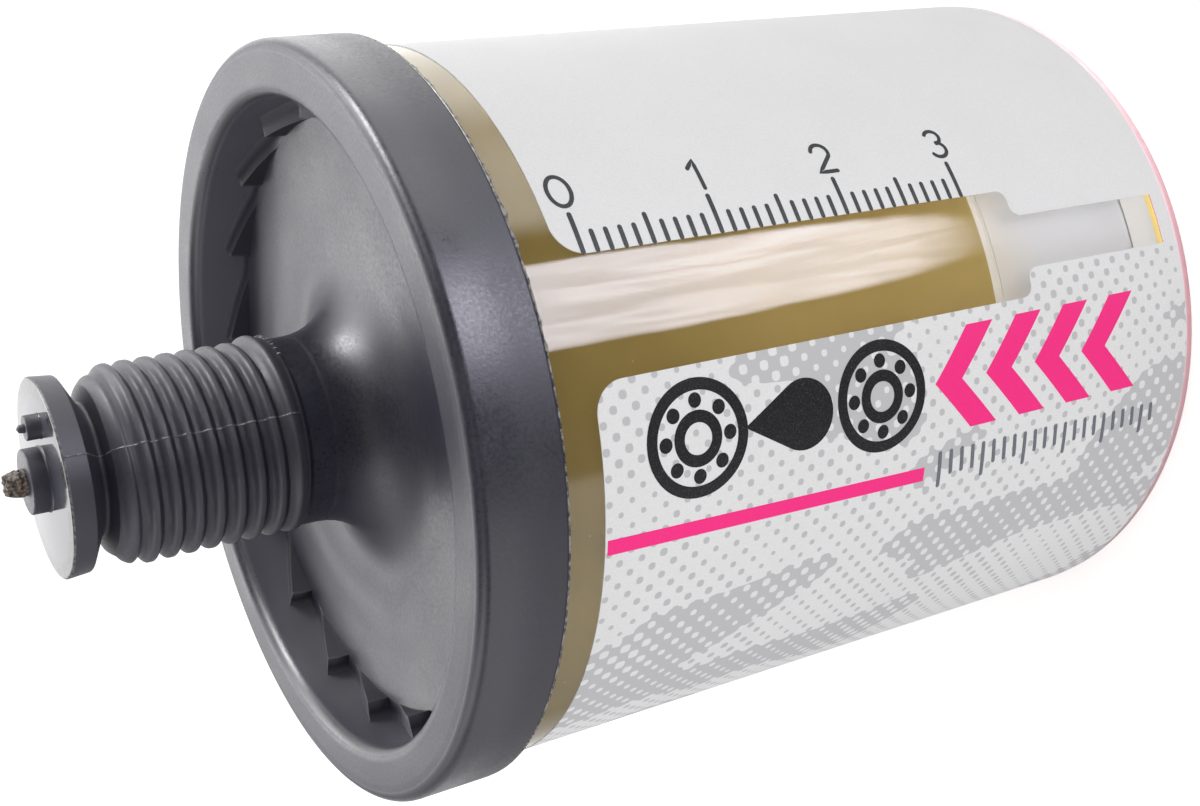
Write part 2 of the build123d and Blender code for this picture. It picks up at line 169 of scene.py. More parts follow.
def rounded(corners, closed=False):
    """An outline of (radius, height) points from corners that may carry a rounding radius."""
    points = []
    count = len(corners)
    for index, corner in enumerate(corners):
        here = Vector(corner[:2])
        rounding = corner[2] if len(corner) > 2 else 0
        if not rounding or (not closed and index in (0, count - 1)):
            points.append(tuple(here))
            continue
        to_last = (Vector(corners[index - 1][:2]) - here).normalized()
        to_next = (Vector(corners[(index + 1) % count][:2]) - here).normalized()
        half = to_last.angle(to_next) / 2
        centre = here + (to_last + to_next).normalized() * rounding / math.sin(half)
        start = here + to_last * rounding / math.tan(half) - centre
        turn = (math.pi - 2 * half) * (1 if to_last.cross(to_next) < 0 else -1)
        steps = max(2, math.ceil(abs(turn) / math.radians(9)))
        for step in range(steps + 1):
            angle = turn * step / steps
            points.append((
                centre.x + start.x * math.cos(angle) - start.y * math.sin(angle),
                centre.y + start.x * math.sin(angle) + start.y * math.cos(angle),
            ))
    return points


def even_angles(count):
    """Angles round the axis, in radians."""
    return np.arange(count) * 2 * math.pi / count


class Form:
    """Collects points and faces in millimetres and makes one object of them."""

    def __init__(self):
        self.points = []
        self.faces = []
        self.finishes = []
        self.marks = []

    def add(self, points, faces, finish=0, marks=None):
        start = len(self.points)
        self.points.extend(map(tuple, points))
        self.faces.extend(tuple(start + corner for corner in face) for face in faces)
        self.finishes.extend([finish] * len(faces))
        self.marks.extend([0.0] * len(points) if marks is None else list(marks))

    def add_turned(self, radius, height, angles, closed=False, finish=0, marks=None, centre=(0, 0)):
        """Adds rows of points turned round the z axis, as arrays of rows by columns."""
        rows, columns = radius.shape
        x = centre[0] + radius * np.cos(angles)
        y = centre[1] + radius * np.sin(angles)
        points = np.stack([x, y, height], axis=-1).reshape(-1, 3)
        faces = []
        for row in range(rows if closed else rows - 1):
            this, above = row * columns, (row + 1) % rows * columns
            for column in range(columns):
                beside = (column + 1) % columns
                faces.append((this + column, this + beside, above + beside, above + column))
        self.add(points, faces, finish, None if marks is None else marks.reshape(-1))

    def add_outline(self, outline, count=180, closed=False, finish=0, centre=(0, 0)):
        """Adds a plain turned outline."""
        angles = even_angles(count)
        outline = np.array(outline)
        radius = np.repeat(outline[:, :1], count, axis=1)
        height = np.repeat(outline[:, 1:2], count, axis=1)
        self.add_turned(radius, height, angles, closed, finish, None, centre)

    def make(self, name, body, materials, sharp=35):
        """Makes the object, riding on its body."""
        mesh = bpy.data.meshes.new(name)
        mesh.from_pydata([tuple(c * MM for c in p) for p in self.points], [], self.faces)
        marks = mesh.attributes.new("mark", "FLOAT", "POINT")
        marks.data.foreach_set("value", self.marks)
        mesh.polygons.foreach_set("material_index", self.finishes)
        work = bmesh.new()
        work.from_mesh(mesh)
        bmesh.ops.remove_doubles(work, verts=work.verts, dist=2e-7)
        bmesh.ops.recalc_face_normals(work, faces=work.faces)
        work.to_mesh(mesh)
        work.free()
        for material in materials:
            mesh.materials.append(material)
        mesh.shade_smooth()
        mesh.set_sharp_from_angle(angle=math.radians(sharp))
        made = bpy.data.objects.new(name, mesh)
        bpy.context.scene.collection.objects.link(made)
        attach(made, body)
        return made


# ---------------------------------------------------------------- shader nodes

def node(tree, kind, settings=None, **inputs):
    """Adds a shader node; inputs are values or the sockets that feed them."""
    made = tree.nodes.new("ShaderNode" + kind)
    for name, value in (settings or {}).items():
        setattr(made, name, value)
    for name, value in inputs.items():
        feed(tree, made.inputs[name.replace("_", " ")], value)
    return made


def feed(tree, socket, value):
    """Sets a socket, or links it where the value is a socket itself."""
    if isinstance(value, bpy.types.NodeSocket):
        tree.links.new(value, socket)
    elif hasattr(value, "__len__") and len(value) == 3 and socket.type == "RGBA":
        socket.default_value = (*value, 1)
    else:
        socket.default_value = value


def calc(tree, operation, *values, clamp=False):
    """A math node on two or three values."""
    made = node(tree, "Math", {"operation": operation, "use_clamp": clamp})
    for socket, value in zip(made.inputs, values):
        feed(tree, socket, value)
    return made.outputs[0]


def blend_colours(tree, factor, first, second, kind="MIX"):
    """Mixes two colours."""
    made = node(tree, "Mix", {"data_type": "RGBA", "blend_type": kind})
    feed(tree, made.inputs["Factor"], factor)
    feed(tree, made.inputs["A"], first)
    feed(tree, made.inputs["B"], second)
    return made.outputs["Result"]


def rescale(tree, value, low_in, high_in, low_out=0.0, high_out=1.0, smooth=False):
    """Maps a value from one range to another."""
    made = node(tree, "MapRange", {"interpolation_type": "SMOOTHSTEP" if smooth else "LINEAR"})
    sockets = ("Value", "From Min", "From Max", "To Min", "To Max")
    for name, given in zip(sockets, (value, low_in, high_in, low_out, high_out)):
        feed(tree, made.inputs[name], given)
    return made.outputs[0]


def noise(tree, size, detail=2.0, roughness=0.5, place=None):
    """Noise whose features are about size millimetres across, from 0 to 1."""
    made = node(tree, "TexNoise", Detail=detail, Roughness=roughness, Scale=1 / (size * MM))
    feed(tree, made.inputs["Vector"], place or node(tree, "TexCoord").outputs["Object"])
    return made.outputs["Fac"]


def new_group(name, inputs, outputs):
    """Starts a shader node group with named sockets; returns its tree, input and output nodes."""
    tree = bpy.data.node_groups.new(name, "ShaderNodeTree")
    for label, value in inputs.items():
        socket = tree.interface.new_socket(label, in_out="INPUT", socket_type="NodeSocketFloat")
        socket.default_value = value
    for label in outputs:
        tree.interface.new_socket(label, in_out="OUTPUT", socket_type="NodeSocketFloat")
    return tree, tree.nodes.new("NodeGroupInput"), tree.nodes.new("NodeGroupOutput")


def grain_group():
    """Fine grain of a moulded or printed surface: a height, and a tone and a gloss near 0.5."""
    tree, given, result = new_group(
        "surface_grain",
        {"Size": 0.15, "Broad Size": 4.0, "Evenness": 0.5},
        ("Height", "Tone", "Gloss"),
    )
    place = node(tree, "TexCoord").outputs["Object"]
    fine = node(tree, "TexNoise", Vector=place, Detail=3.0, Roughness=0.6)
    feed(tree, fine.inputs["Scale"], calc(tree, "DIVIDE", 1 / MM, given.outputs["Size"]))
    broad = node(tree, "TexNoise", Vector=place, Detail=2.0, Roughness=0.5)
    feed(tree, broad.inputs["Scale"], calc(tree, "DIVIDE", 1 / MM, given.outputs["Broad Size"]))
    share = given.outputs["Evenness"]
    mixed = calc(
        tree, "ADD",
        calc(tree, "MULTIPLY", fine.outputs["Fac"], share),
        calc(tree, "MULTIPLY", broad.outputs["Fac"], calc(tree, "SUBTRACT", 1.0, share)),
    )
    feed(tree, result.inputs["Height"], fine.outputs["Fac"])
    feed(tree, result.inputs["Tone"], mixed)
    feed(tree, result.inputs["Gloss"], broad.outputs["Fac"])
    return tree


def wear_group():
    """Light handling marks: a few dust specks, as a mask."""
    tree, given, result = new_group(
        "handling_wear",
        {"Speck Size": 1.2, "Speck Share": 0.05},
        ("Specks",),
    )
    place = node(tree, "TexCoord").outputs["Object"]
    specks = node(tree, "TexVoronoi", {"feature": "F1"}, Vector=place)
    feed(tree, specks.inputs["Scale"], calc(tree, "DIVIDE", 1 / MM, given.outputs["Speck Size"]))
    near = rescale(
        tree, specks.outputs["Distance"], calc(tree, "MULTIPLY", given.outputs["Speck Share"], 0.6),
        given.outputs["Speck Share"], 1.0, 0.0,
    )
    few = rescale(tree, noise(tree, 2.2, 1.0, 0.5, place), 0.58, 0.62)
    feed(tree, result.inputs["Specks"], calc(tree, "MULTIPLY", near, few))
    return tree


surface_grain = grain_group()
handling_wear = wear_group()


def place_group(tree, group, **values):
    """Places a shared effect in a material with its own values."""
    made = tree.nodes.new("ShaderNodeGroup")
    made.node_tree = group
    for name, value in values.items():
        feed(tree, made.inputs[name.replace("_", " ")], value)
    return made.outputs


def new_material(name):
    """A material with an empty tree, its Principled shader and its output."""
    made = bpy.data.materials.new(name)
    made.use_nodes = True
    tree = made.node_tree
    tree.nodes.clear()
    shader = tree.nodes.new("ShaderNodeBsdfPrincipled")
    output = tree.nodes.new("ShaderNodeOutputMaterial")
    tree.links.new(shader.outputs[0], output.inputs["Surface"])
    return made, tree, shader


def bump(tree, height, depth, normal=None):
    """A bump whose height of 1 stands for depth millimetres."""
    made = node(tree, "Bump", Height=height, Strength=1.0, Distance=depth * MM)
    if normal is not None:
        feed(tree, made.inputs["Normal"], normal)
    return made.outputs[0]


def moulded(name, colour, roughness, grain_size=0.15, grain_depth=0.004, tone=0.1, gloss=0.06,
            specks=0.0, specular=0.5):
    """A moulded, sheet or metal surface with fine grain and a little wear."""
    made, tree, shader = new_material(name)
    grain = place_group(tree, surface_grain, Size=grain_size, Broad_Size=3.0, Evenness=0.45)
    darker = tuple(c * (1 - tone) for c in colour)
    lighter = tuple(min(1, c * (1 + tone)) for c in colour)
    base = blend_colours(tree, rescale(tree, grain["Tone"], 0.3, 0.7), darker, lighter)
    if specks:
        wear = place_group(tree, handling_wear, Speck_Size=0.9, Speck_Share=0.09)
        dust = calc(tree, "MULTIPLY", wear["Specks"], specks)
        base = blend_colours(tree, dust, base, (0.5, 0.48, 0.44))
    feed(tree, shader.inputs["Base Color"], base)
    rough = rescale(tree, grain["Gloss"], 0.3, 0.7, roughness - gloss, roughness + gloss)
    feed(tree, shader.inputs["Roughness"], rough)
    feed(tree, shader.inputs["Normal"], bump(tree, grain["Height"], grain_depth))
    shader.inputs["Specular IOR Level"].default_value = specular
    return made


# ---------------------------------------------------------------- materials

def cap_plastic():
    """Dark grey moulded plastic with a satin grain, flow marks, pale flash, painted highlights on the thread
    crests, tooth tips and recess wall, and a few specks.
    """
    made, tree, shader = new_material("cap_plastic")
    grain = place_group(tree, surface_grain, Size=0.22, Broad_Size=5.0, Evenness=0.5)
    wear = place_group(tree, handling_wear, Speck_Size=1.3, Speck_Share=0.035)
    tone = rescale(tree, grain["Tone"], 0.3, 0.7)
    base = blend_colours(tree, tone, (0.0155, 0.015, 0.0245), (0.034, 0.0325, 0.049))
    flash_and_painted_glints = node(tree, "Attribute", {"attribute_name": "mark"}).outputs["Fac"]
    broken = rescale(tree, noise(tree, 0.35, 3.0, 0.7), 0.42, 0.6)
    # Marks below 0.3 are painted solid in a cool pale grey: painted highlights on the thread crests, tooth
    # tips and recess wall, and the thin pale mould line. Higher marks are broken pale flash.
    solid = calc(tree, "LESS_THAN", flash_and_painted_glints, 0.3)
    pale = calc(tree, "MULTIPLY", flash_and_painted_glints, calc(tree, "MAXIMUM", broken, solid), clamp=True)
    tint = blend_colours(tree, solid, (0.37, 0.345, 0.31), (0.31, 0.31, 0.36))
    base = blend_colours(tree, pale, base, tint)
    base = blend_colours(tree, calc(tree, "MULTIPLY", wear["Specks"], 0.35), base, (0.3, 0.3, 0.3))
    feed(tree, shader.inputs["Base Color"], base)
    split = node(tree, "SeparateXYZ", Vector=node(tree, "TexCoord").outputs["Object"])
    out = calc(tree, "SQRT", calc(tree, "ADD", calc(tree, "POWER", split.outputs["X"], 2.0),
                                  calc(tree, "POWER", split.outputs["Y"], 2.0)))
    height = calc(tree, "DIVIDE", split.outputs["Z"], MM)
    polished = calc(tree, "COMPARE", height, disc_face, 0.03)
    dull = rescale(tree, height, recess_floor + 0.3, recess_floor + 3.0, 0.12, 0.0, True)
    front = calc(tree, "COMPARE", height, rim_height, 0.12)
    dull = calc(tree, "MULTIPLY_ADD", front, 0.13, dull)
    teeth = calc(tree, "MULTIPLY", rescale(tree, height, recess_floor + 0.62, recess_floor + 0.9),
                 rescale(tree, height, recess_floor + 2.6, recess_floor + 3.6, 1.0, 0.0))
    inside = calc(tree, "COMPARE", out, 20.4 * MM, 2.3 * MM)
    dull = calc(tree, "MULTIPLY_ADD", calc(tree, "MULTIPLY", teeth, inside), 0.25, dull)
    threaded = rescale(tree, height, thread_bottom - 0.2, thread_bottom + 0.4)
    dull = calc(tree, "ADD", dull, calc(tree, "MULTIPLY", calc(tree, "SUBTRACT", threaded, polished), 0.18))
    satin = calc(tree, "ADD", rescale(tree, grain["Gloss"], 0.3, 0.7, 0.24, 0.3),
                 rescale(tree, grain["Height"], 0.3, 0.7, 0.0, 0.14))
    satin = calc(tree, "ADD", calc(tree, "ADD", satin, dull), calc(tree, "MULTIPLY", polished, -0.26))
    feed(tree, shader.inputs["Roughness"], satin)
    # Flow marks: soft rings round the gate, bent by a broad unevenness
    broad = noise(tree, 9.0, 1.0, 0.4)
    turns = calc(tree, "MULTIPLY_ADD", out, 2 * math.pi / (4.6 * MM), calc(tree, "MULTIPLY", broad, 9.0))
    rings = calc(tree, "MULTIPLY_ADD", calc(tree, "SINE", turns), 0.5, 0.5)
    plain = calc(tree, "SUBTRACT", 1.0, polished)
    rings = calc(tree, "ADD", rings, noise(tree, 5.0, 1.0, 0.4))
    flow = bump(tree, calc(tree, "MULTIPLY", rings, plain), 0.03)
    fine = bump(tree, calc(tree, "MULTIPLY", grain["Height"], plain), 0.009, flow)
    feed(tree, shader.inputs["Normal"], fine)
    shader.inputs["Specular IOR Level"].default_value = 0.5
    return made


def burnt_plastic():
    """The rough brown stub where the moulding gate was broken off."""
    made, tree, shader = new_material("gate_stub_plastic")
    rough = noise(tree, 0.22, 3.0, 0.6)
    base = blend_colours(tree, rescale(tree, rough, 0.45, 0.7), (0.03, 0.02, 0.015), (0.26, 0.19, 0.14))
    feed(tree, shader.inputs["Base Color"], base)
    shader.inputs["Roughness"].default_value = 0.55
    feed(tree, shader.inputs["Normal"], bump(tree, rough, 0.1))
    return made


def clear_plastic(name="clear_plastic", dullness=0.03, colour=(0.98, 0.985, 0.97)):
    """Clear moulded plastic, a little wavy; it lets lamp light through to what it holds."""
    made, tree, shader = new_material(name)
    waves = noise(tree, 7.0, 1.0, 0.4)
    wear = place_group(tree, handling_wear, Speck_Size=1.0, Speck_Share=0.05)
    feed(tree, shader.inputs["Base Color"], colour)
    rough = rescale(tree, wear["Specks"], 0.0, 1.0, dullness, dullness + 0.35)
    feed(tree, shader.inputs["Roughness"], rough)
    shader.inputs["IOR"].default_value = 1.49
    shader.inputs["Transmission Weight"].default_value = 1.0
    feed(tree, shader.inputs["Normal"], bump(tree, waves, 0.03))
    shadow = node(tree, "LightPath").outputs["Is Shadow Ray"]
    feed(tree, shader.inputs["Alpha"], calc(tree, "SUBTRACT", 1.0, shadow))
    return made


def piston_plastic():
    """Natural white plastic, stained by a film of grease behind the seal."""
    made, tree, shader = new_material("piston_plastic")
    grain = place_group(tree, surface_grain, Size=0.3, Broad_Size=4.0, Evenness=0.4)
    base = blend_colours(tree, grain["Tone"], (0.465, 0.45, 0.437), (0.52, 0.505, 0.49))
    height = node(tree, "SeparateXYZ", Vector=node(tree, "TexCoord").outputs["Object"]).outputs["Z"]
    ragged = calc(tree, "MULTIPLY_ADD", noise(tree, 3.0, 2.0, 0.5), 5 * MM, height)
    film = rescale(tree, ragged, 15.0 * MM, 20.5 * MM, 0.0, 0.8, True)
    base = blend_colours(tree, film, base, (0.56, 0.5, 0.4))
    feed(tree, shader.inputs["Base Color"], base)
    feed(tree, shader.inputs["Roughness"], rescale(tree, grain["Gloss"], 0.3, 0.7, 0.36, 0.48))
    feed(tree, shader.inputs["Normal"], bump(tree, grain["Height"], 0.006))
    return made


def frosted_plastic():
    """The same plastic where it is milky: the rear wall and its collar, never polished."""
    return moulded("frosted_plastic", (0.86, 0.84, 0.78), 0.5, 0.3, 0.006, 0.03)


def grease_material():
    """Tan translucent grease with faint streaks and a few trapped specks, painted darker near the cap and
    paler towards the rear: painted shade and light.
    """
    made, tree, shader = new_material("grease")
    cloud = noise(tree, 9.0, 3.0, 0.55)
    height = node(tree, "SeparateXYZ", Vector=node(tree, "TexCoord").outputs["Object"]).outputs["Z"]
    # Painted light and shade: the grease is painted darker near the cap, where it lies in shade, and paler in
    # the window further back.
    painted_light_towards_rear = rescale(tree, height, 53 * MM, 20 * MM)
    dark = blend_colours(tree, painted_light_towards_rear, (0.345, 0.247, 0.076), (0.56, 0.41, 0.15))
    light = blend_colours(tree, painted_light_towards_rear, (0.41, 0.296, 0.095), (0.65, 0.48, 0.185))
    base = blend_colours(tree, rescale(tree, cloud, 0.3, 0.7), dark, light)
    wear = place_group(tree, handling_wear, Speck_Size=1.3, Speck_Share=0.07)
    base = blend_colours(tree, calc(tree, "MULTIPLY", wear["Specks"], 0.5), base, (0.6, 0.5, 0.28))
    feed(tree, shader.inputs["Base Color"], base)
    shader.inputs["Roughness"].default_value = 0.4
    shader.inputs["Specular IOR Level"].default_value = 0.0
    shader.inputs["Subsurface Weight"].default_value = 0.25
    shader.inputs["Subsurface Radius"].default_value = (1.0, 0.8, 0.4)
    shader.inputs["Subsurface Scale"].default_value = 0.0015
    feed(tree, shader.inputs["Normal"], bump(tree, cloud, 0.1))
    return made


def label_film():
    """Silver-white printed film with a fine metallic grain and a grey dot screen below the window."""
    made, tree, shader = new_material("label_film")
    place = node(tree, "TexCoord").outputs["Object"]
    split = node(tree, "SeparateXYZ", Vector=place)
    azimuth = calc(tree, "ARCTAN2", split.outputs["X"], calc(tree, "MULTIPLY", split.outputs["Y"], -1.0))
    along = calc(tree, "MULTIPLY", azimuth, label_radius)
    height = calc(tree, "DIVIDE", split.outputs["Z"], MM)
    # Dot screen: rows of dots set at 45 degrees, that grow and run together as the field rises
    dot_pitch = 1.12
    turn = 2 * math.pi / dot_pitch / math.sqrt(2)
    first = calc(tree, "COSINE", calc(tree, "MULTIPLY", calc(tree, "ADD", along, height), turn))
    second = calc(tree, "COSINE", calc(tree, "MULTIPLY", calc(tree, "SUBTRACT", along, height), turn))
    screen = calc(tree, "MULTIPLY_ADD", calc(tree, "ADD", first, second), 0.25, 0.5)
    flat = node(tree, "CombineXYZ", X=along, Y=height, Z=3.0)
    slow = node(tree, "TexNoise", Vector=flat.outputs[0], Scale=0.2, Detail=1.0, Roughness=0.4)
    sparse = rescale(tree, slow.outputs["Fac"], 0.3, 0.7, 0.1, 0.3)
    # Patches of denser dots, with crisp edges that fan out from the rear
    leaning = node(tree, "CombineXYZ", X=along, Y=calc(tree, "MULTIPLY_ADD", along, 0.75, height), Z=7.0)
    stretched = node(tree, "Mapping", Vector=leaning.outputs[0], Scale=(1.0, 0.4, 1.0))
    blocks = node(tree, "TexNoise", Vector=stretched.outputs[0], Scale=0.13, Detail=1.0, Roughness=0.4)
    corner = calc(tree, "MULTIPLY", rescale(tree, height, 36, 44), rescale(tree, along, -14, -8))
    end = calc(tree, "MULTIPLY", rescale(tree, height, 20, 16), rescale(tree, along, -6.5, -4.5))
    corner = calc(tree, "MAXIMUM", corner, end)
    blocks = calc(tree, "MULTIPLY_ADD", corner, -0.2, blocks.outputs["Fac"])
    patch = rescale(tree, blocks, 0.54, 0.55)
    dense = rescale(tree, slow.outputs["Fac"], 0.3, 0.7, 0.58, 0.84)
    field = calc(tree, "MULTIPLY_ADD", calc(tree, "SUBTRACT", dense, sparse), patch, sparse)
    below = calc(tree, "LESS_THAN", along, -1.7)
    field = calc(tree, "MULTIPLY", field, below)
    dots = calc(tree, "MULTIPLY", rescale(tree, calc(tree, "SUBTRACT", field, screen), -0.03, 0.03), below)
    grain = place_group(tree, surface_grain, Size=0.12, Broad_Size=6.0, Evenness=0.8)
    white = blend_colours(
        tree, rescale(tree, grain["Tone"], 0.35, 0.65), (0.76, 0.76, 0.77), (0.83, 0.83, 0.84),
    )
    base = blend_colours(tree, dots, white, (0.55, 0.55, 0.57))
    feed(tree, shader.inputs["Base Color"], base)
    feed(tree, shader.inputs["Roughness"], rescale(tree, grain["Height"], 0.3, 0.7, 0.44, 0.56))
    shader.inputs["IOR"].default_value = 1.2
    feed(tree, shader.inputs["Normal"], bump(tree, grain["Height"], 0.002))
    # The thin film lets most of the light round it through to what is inside
    seen = node(tree, "LightPath").outputs["Is Camera Ray"]
    feed(tree, shader.inputs["Alpha"], calc(tree, "MULTIPLY_ADD", seen, 0.85, 0.15))
    return made


def ink(name, colour, edge_colour, speckle=0.12):
    """Printed ink: darker at the edges of a stroke, faintly speckled."""
    made, tree, shader = new_material(name)
    edge = node(tree, "Attribute", {"attribute_name": "mark"}).outputs["Fac"]
    edge = rescale(tree, edge, 0.35, 0.8)
    base = blend_colours(tree, edge, colour, edge_colour)
    specks = rescale(tree, noise(tree, 0.09, 2.0, 0.7), 0.52, 0.7, 0.0, speckle)
    base = blend_colours(tree, specks, base, (0.75, 0.75, 0.76))
    feed(tree, shader.inputs["Base Color"], base)
    shader.inputs["Roughness"].default_value = 0.4
    shader.inputs["Specular IOR Level"].default_value = 0.2
    return made


def brushed_metal(name, colour, roughness=0.3):
    """Rolled or drawn metal with fine marks along one direction."""
    made, tree, shader = new_material(name)
    place = node(tree, "TexCoord").outputs["Object"]
    stretched = node(tree, "Mapping", Vector=place, Scale=(1.0, 12.0, 12.0)).outputs[0]
    lines = noise(tree, 0.6, 3.0, 0.6, stretched)
    darker = tuple(c * 0.85 for c in colour)
    feed(tree, shader.inputs["Base Color"], blend_colours(tree, lines, darker, colour))
    feed(tree, shader.inputs["Roughness"], rescale(tree, lines, 0.3, 0.7, roughness - 0.07, roughness + 0.1))
    shader.inputs["Metallic"].default_value = 1.0
    feed(tree, shader.inputs["Normal"], bump(tree, lines, 0.004))
    return made


finishes = {
    "cap_plastic": cap_plastic(),
    "clear_plastic": clear_plastic(),
    "label_film": label_film(),
    "grease": grease_material(),
    "piston_plastic": piston_plastic(),
    "seal_rubber": moulded("seal_rubber", (0.62, 0.56, 0.44), 0.5, 0.2, 0.006, 0.05),
    "housing_plastic": moulded(
        "housing_plastic", (0.8, 0.04, 0.2), 0.42, 0.18, 0.004, 0.06, specks=0.2, specular=0.15,
    ),
    "gasket_rubber": moulded("gasket_rubber", (0.98, 0.72, 0.13), 0.6, 0.2, 0.01, 0.08),
    "dial_plastic": moulded(
        "dial_plastic", (0.035, 0.035, 0.04), 0.45, 0.15, 0.004, 0.12, specks=0.2, specular=0.15,
    ),
    "black_rubber": moulded("black_rubber", (0.018, 0.018, 0.018), 0.55, 0.2, 0.01, 0.15),
    "spring_steel": brushed_metal("spring_steel", (0.6, 0.6, 0.6)),
    "contact_brass": brushed_metal("contact_brass", (0.78, 0.58, 0.26)),
    "board_laminate": moulded("board_laminate", (0.02, 0.13, 0.05), 0.35, 0.25, 0.006, 0.12),
    "resistor_ceramic": moulded("resistor_ceramic", (0.03, 0.03, 0.03), 0.5, 0.1, 0.004, 0.15),
    "holder_plastic": moulded("holder_plastic", (0.6, 0.59, 0.54), 0.45, 0.2, 0.006, 0.05),
    "cell_steel": brushed_metal("cell_steel", (0.66, 0.66, 0.64), 0.25),
    "membrane_film": moulded("membrane_film", (0.85, 0.85, 0.84), 0.75, 0.12, 0.02, 0.04),
}

node_finishes = {
    "outlet_cap": "cap_plastic", "reservoir": "clear_plastic", "label": "label_film",
    "grease_fill": "grease", "piston": "piston_plastic", "piston_seal": "seal_rubber",
    "generator_housing": "housing_plastic", "head_gasket": "gasket_rubber",
    "time_dial": "dial_plastic", "dial_o_ring": "black_rubber", "dial_clip": "spring_steel",
    "wiper_contact": "contact_brass", "circuit_board": "board_laminate",
    "resistors": "resistor_ceramic", "cell_holder": "holder_plastic",
    "gas_cell_1": "cell_steel", "gas_cell_2": "cell_steel",
    "cell_spring_1": "spring_steel", "cell_spring_2": "spring_steel",
    "cell_bridge": "contact_brass", "generator_lid": "housing_plastic",
    "vent_membrane": "membrane_film", "membrane_ring": "holder_plastic",
}


def finish_cad_nodes():
    """Gives every CAD node its procedural material."""
    for name, finish in node_finishes.items():
        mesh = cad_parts[name].data
        mesh.materials.clear()
        mesh.materials.append(finishes[finish])


# ---------------------------------------------------------------- outlet cap

def cap_angles():
    """Angles round the cap, close together at each tooth's drop and at the parting line."""
    pitch = 360 / tooth_count
    within = [0, 0.004, 0.02, *[step / 10 for step in range(1, 10)], 0.95, 0.985, 0.996]
    angles = [
        tooth_drop_azimuth + pitch * (tooth + share) for tooth in range(tooth_count) for share in within
    ]
    angles += [parting_azimuth + 360 + offset for offset in (-0.9, -0.5, -0.2, 0.0, 0.2, 0.5, 0.9)]
    return np.radians(sorted(angle % 360 for angle in angles))


def cap_outline():
    """The cap's section from the bore's end on the axis to the closing disc's face on the axis."""
    inner = reservoir_bore - weld_gap
    outer = reservoir_radius + weld_gap
    front = rounded([
        (0, collar_top + 2.9), (bore_radius, groove_top + 0.5), (bore_radius, cap_inside, bore_mouth_radius),
        (inner, cap_inside), (inner, reservoir_front + weld_gap), (outer, reservoir_front + weld_gap),
        (outer, cap_heel), (cap_radius, cap_heel, cap_heel_radius),
        (cap_radius, rim_height - mould_line_step, cap_edge_radius),
        (mould_line_radius, rim_height - mould_line_step),
        (mould_line_radius - 0.06, rim_height - mould_line_step + 0.006),
        (mould_line_radius - 0.5, rim_height, 0.3), (mould_line_radius - 0.9, rim_height),
        (recess_radius, rim_height, recess_lip_radius),
        (recess_radius, recess_floor + tooth_height * 1.02),
    ])
    teeth = [
        (recess_radius, recess_floor), (21.5, recess_floor), (tooth_inner_radius + tooth_round, recess_floor),
        (tooth_inner_radius + 0.01, recess_floor - 0.015), (tooth_inner_radius, recess_floor + dish_rise),
    ]
    dish_edge = tooth_inner_radius - 0.15
    dish = [dish_edge - (dish_edge - dish_start) * step / 9 for step in range(9)]
    teeth += [
        (out, recess_floor + dish_rise * ((out - dish_start) / (tooth_inner_radius - dish_start)) ** 2)
        for out in dish
    ]
    neck = rounded([
        (dish_start, recess_floor), (neck_radius, recess_floor, neck_fillet),
        (neck_radius, thread_bottom - 0.3),
    ])
    thread_end = collar_top - 0.12
    rows = math.ceil((thread_end - thread_bottom) / (thread_pitch / 16))
    levels = [thread_bottom + (thread_end - thread_bottom) * row / rows for row in range(rows + 1)]
    narrowing = [max(0, (level - thread_top + 0.7) / (collar_top - thread_top + 0.7)) for level in levels]
    thread = [
        (thread_radius - (thread_radius - collar_radius) * share ** 2.2, level)
        for level, share in zip(levels, narrowing)
    ]
    end = rounded([
        (collar_radius + 0.15, thread_end), (collar_radius, collar_top, 0.1),
        (groove_radius, (collar_top + groove_top) / 2, 0.2), (groove_radius + disc_lip, groove_top),
        (disc_radius - disc_lip, disc_back, 0.1), (disc_radius, disc_face, disc_lip), (0, disc_face),
    ])
    return front, teeth, neck, thread, end[1:]


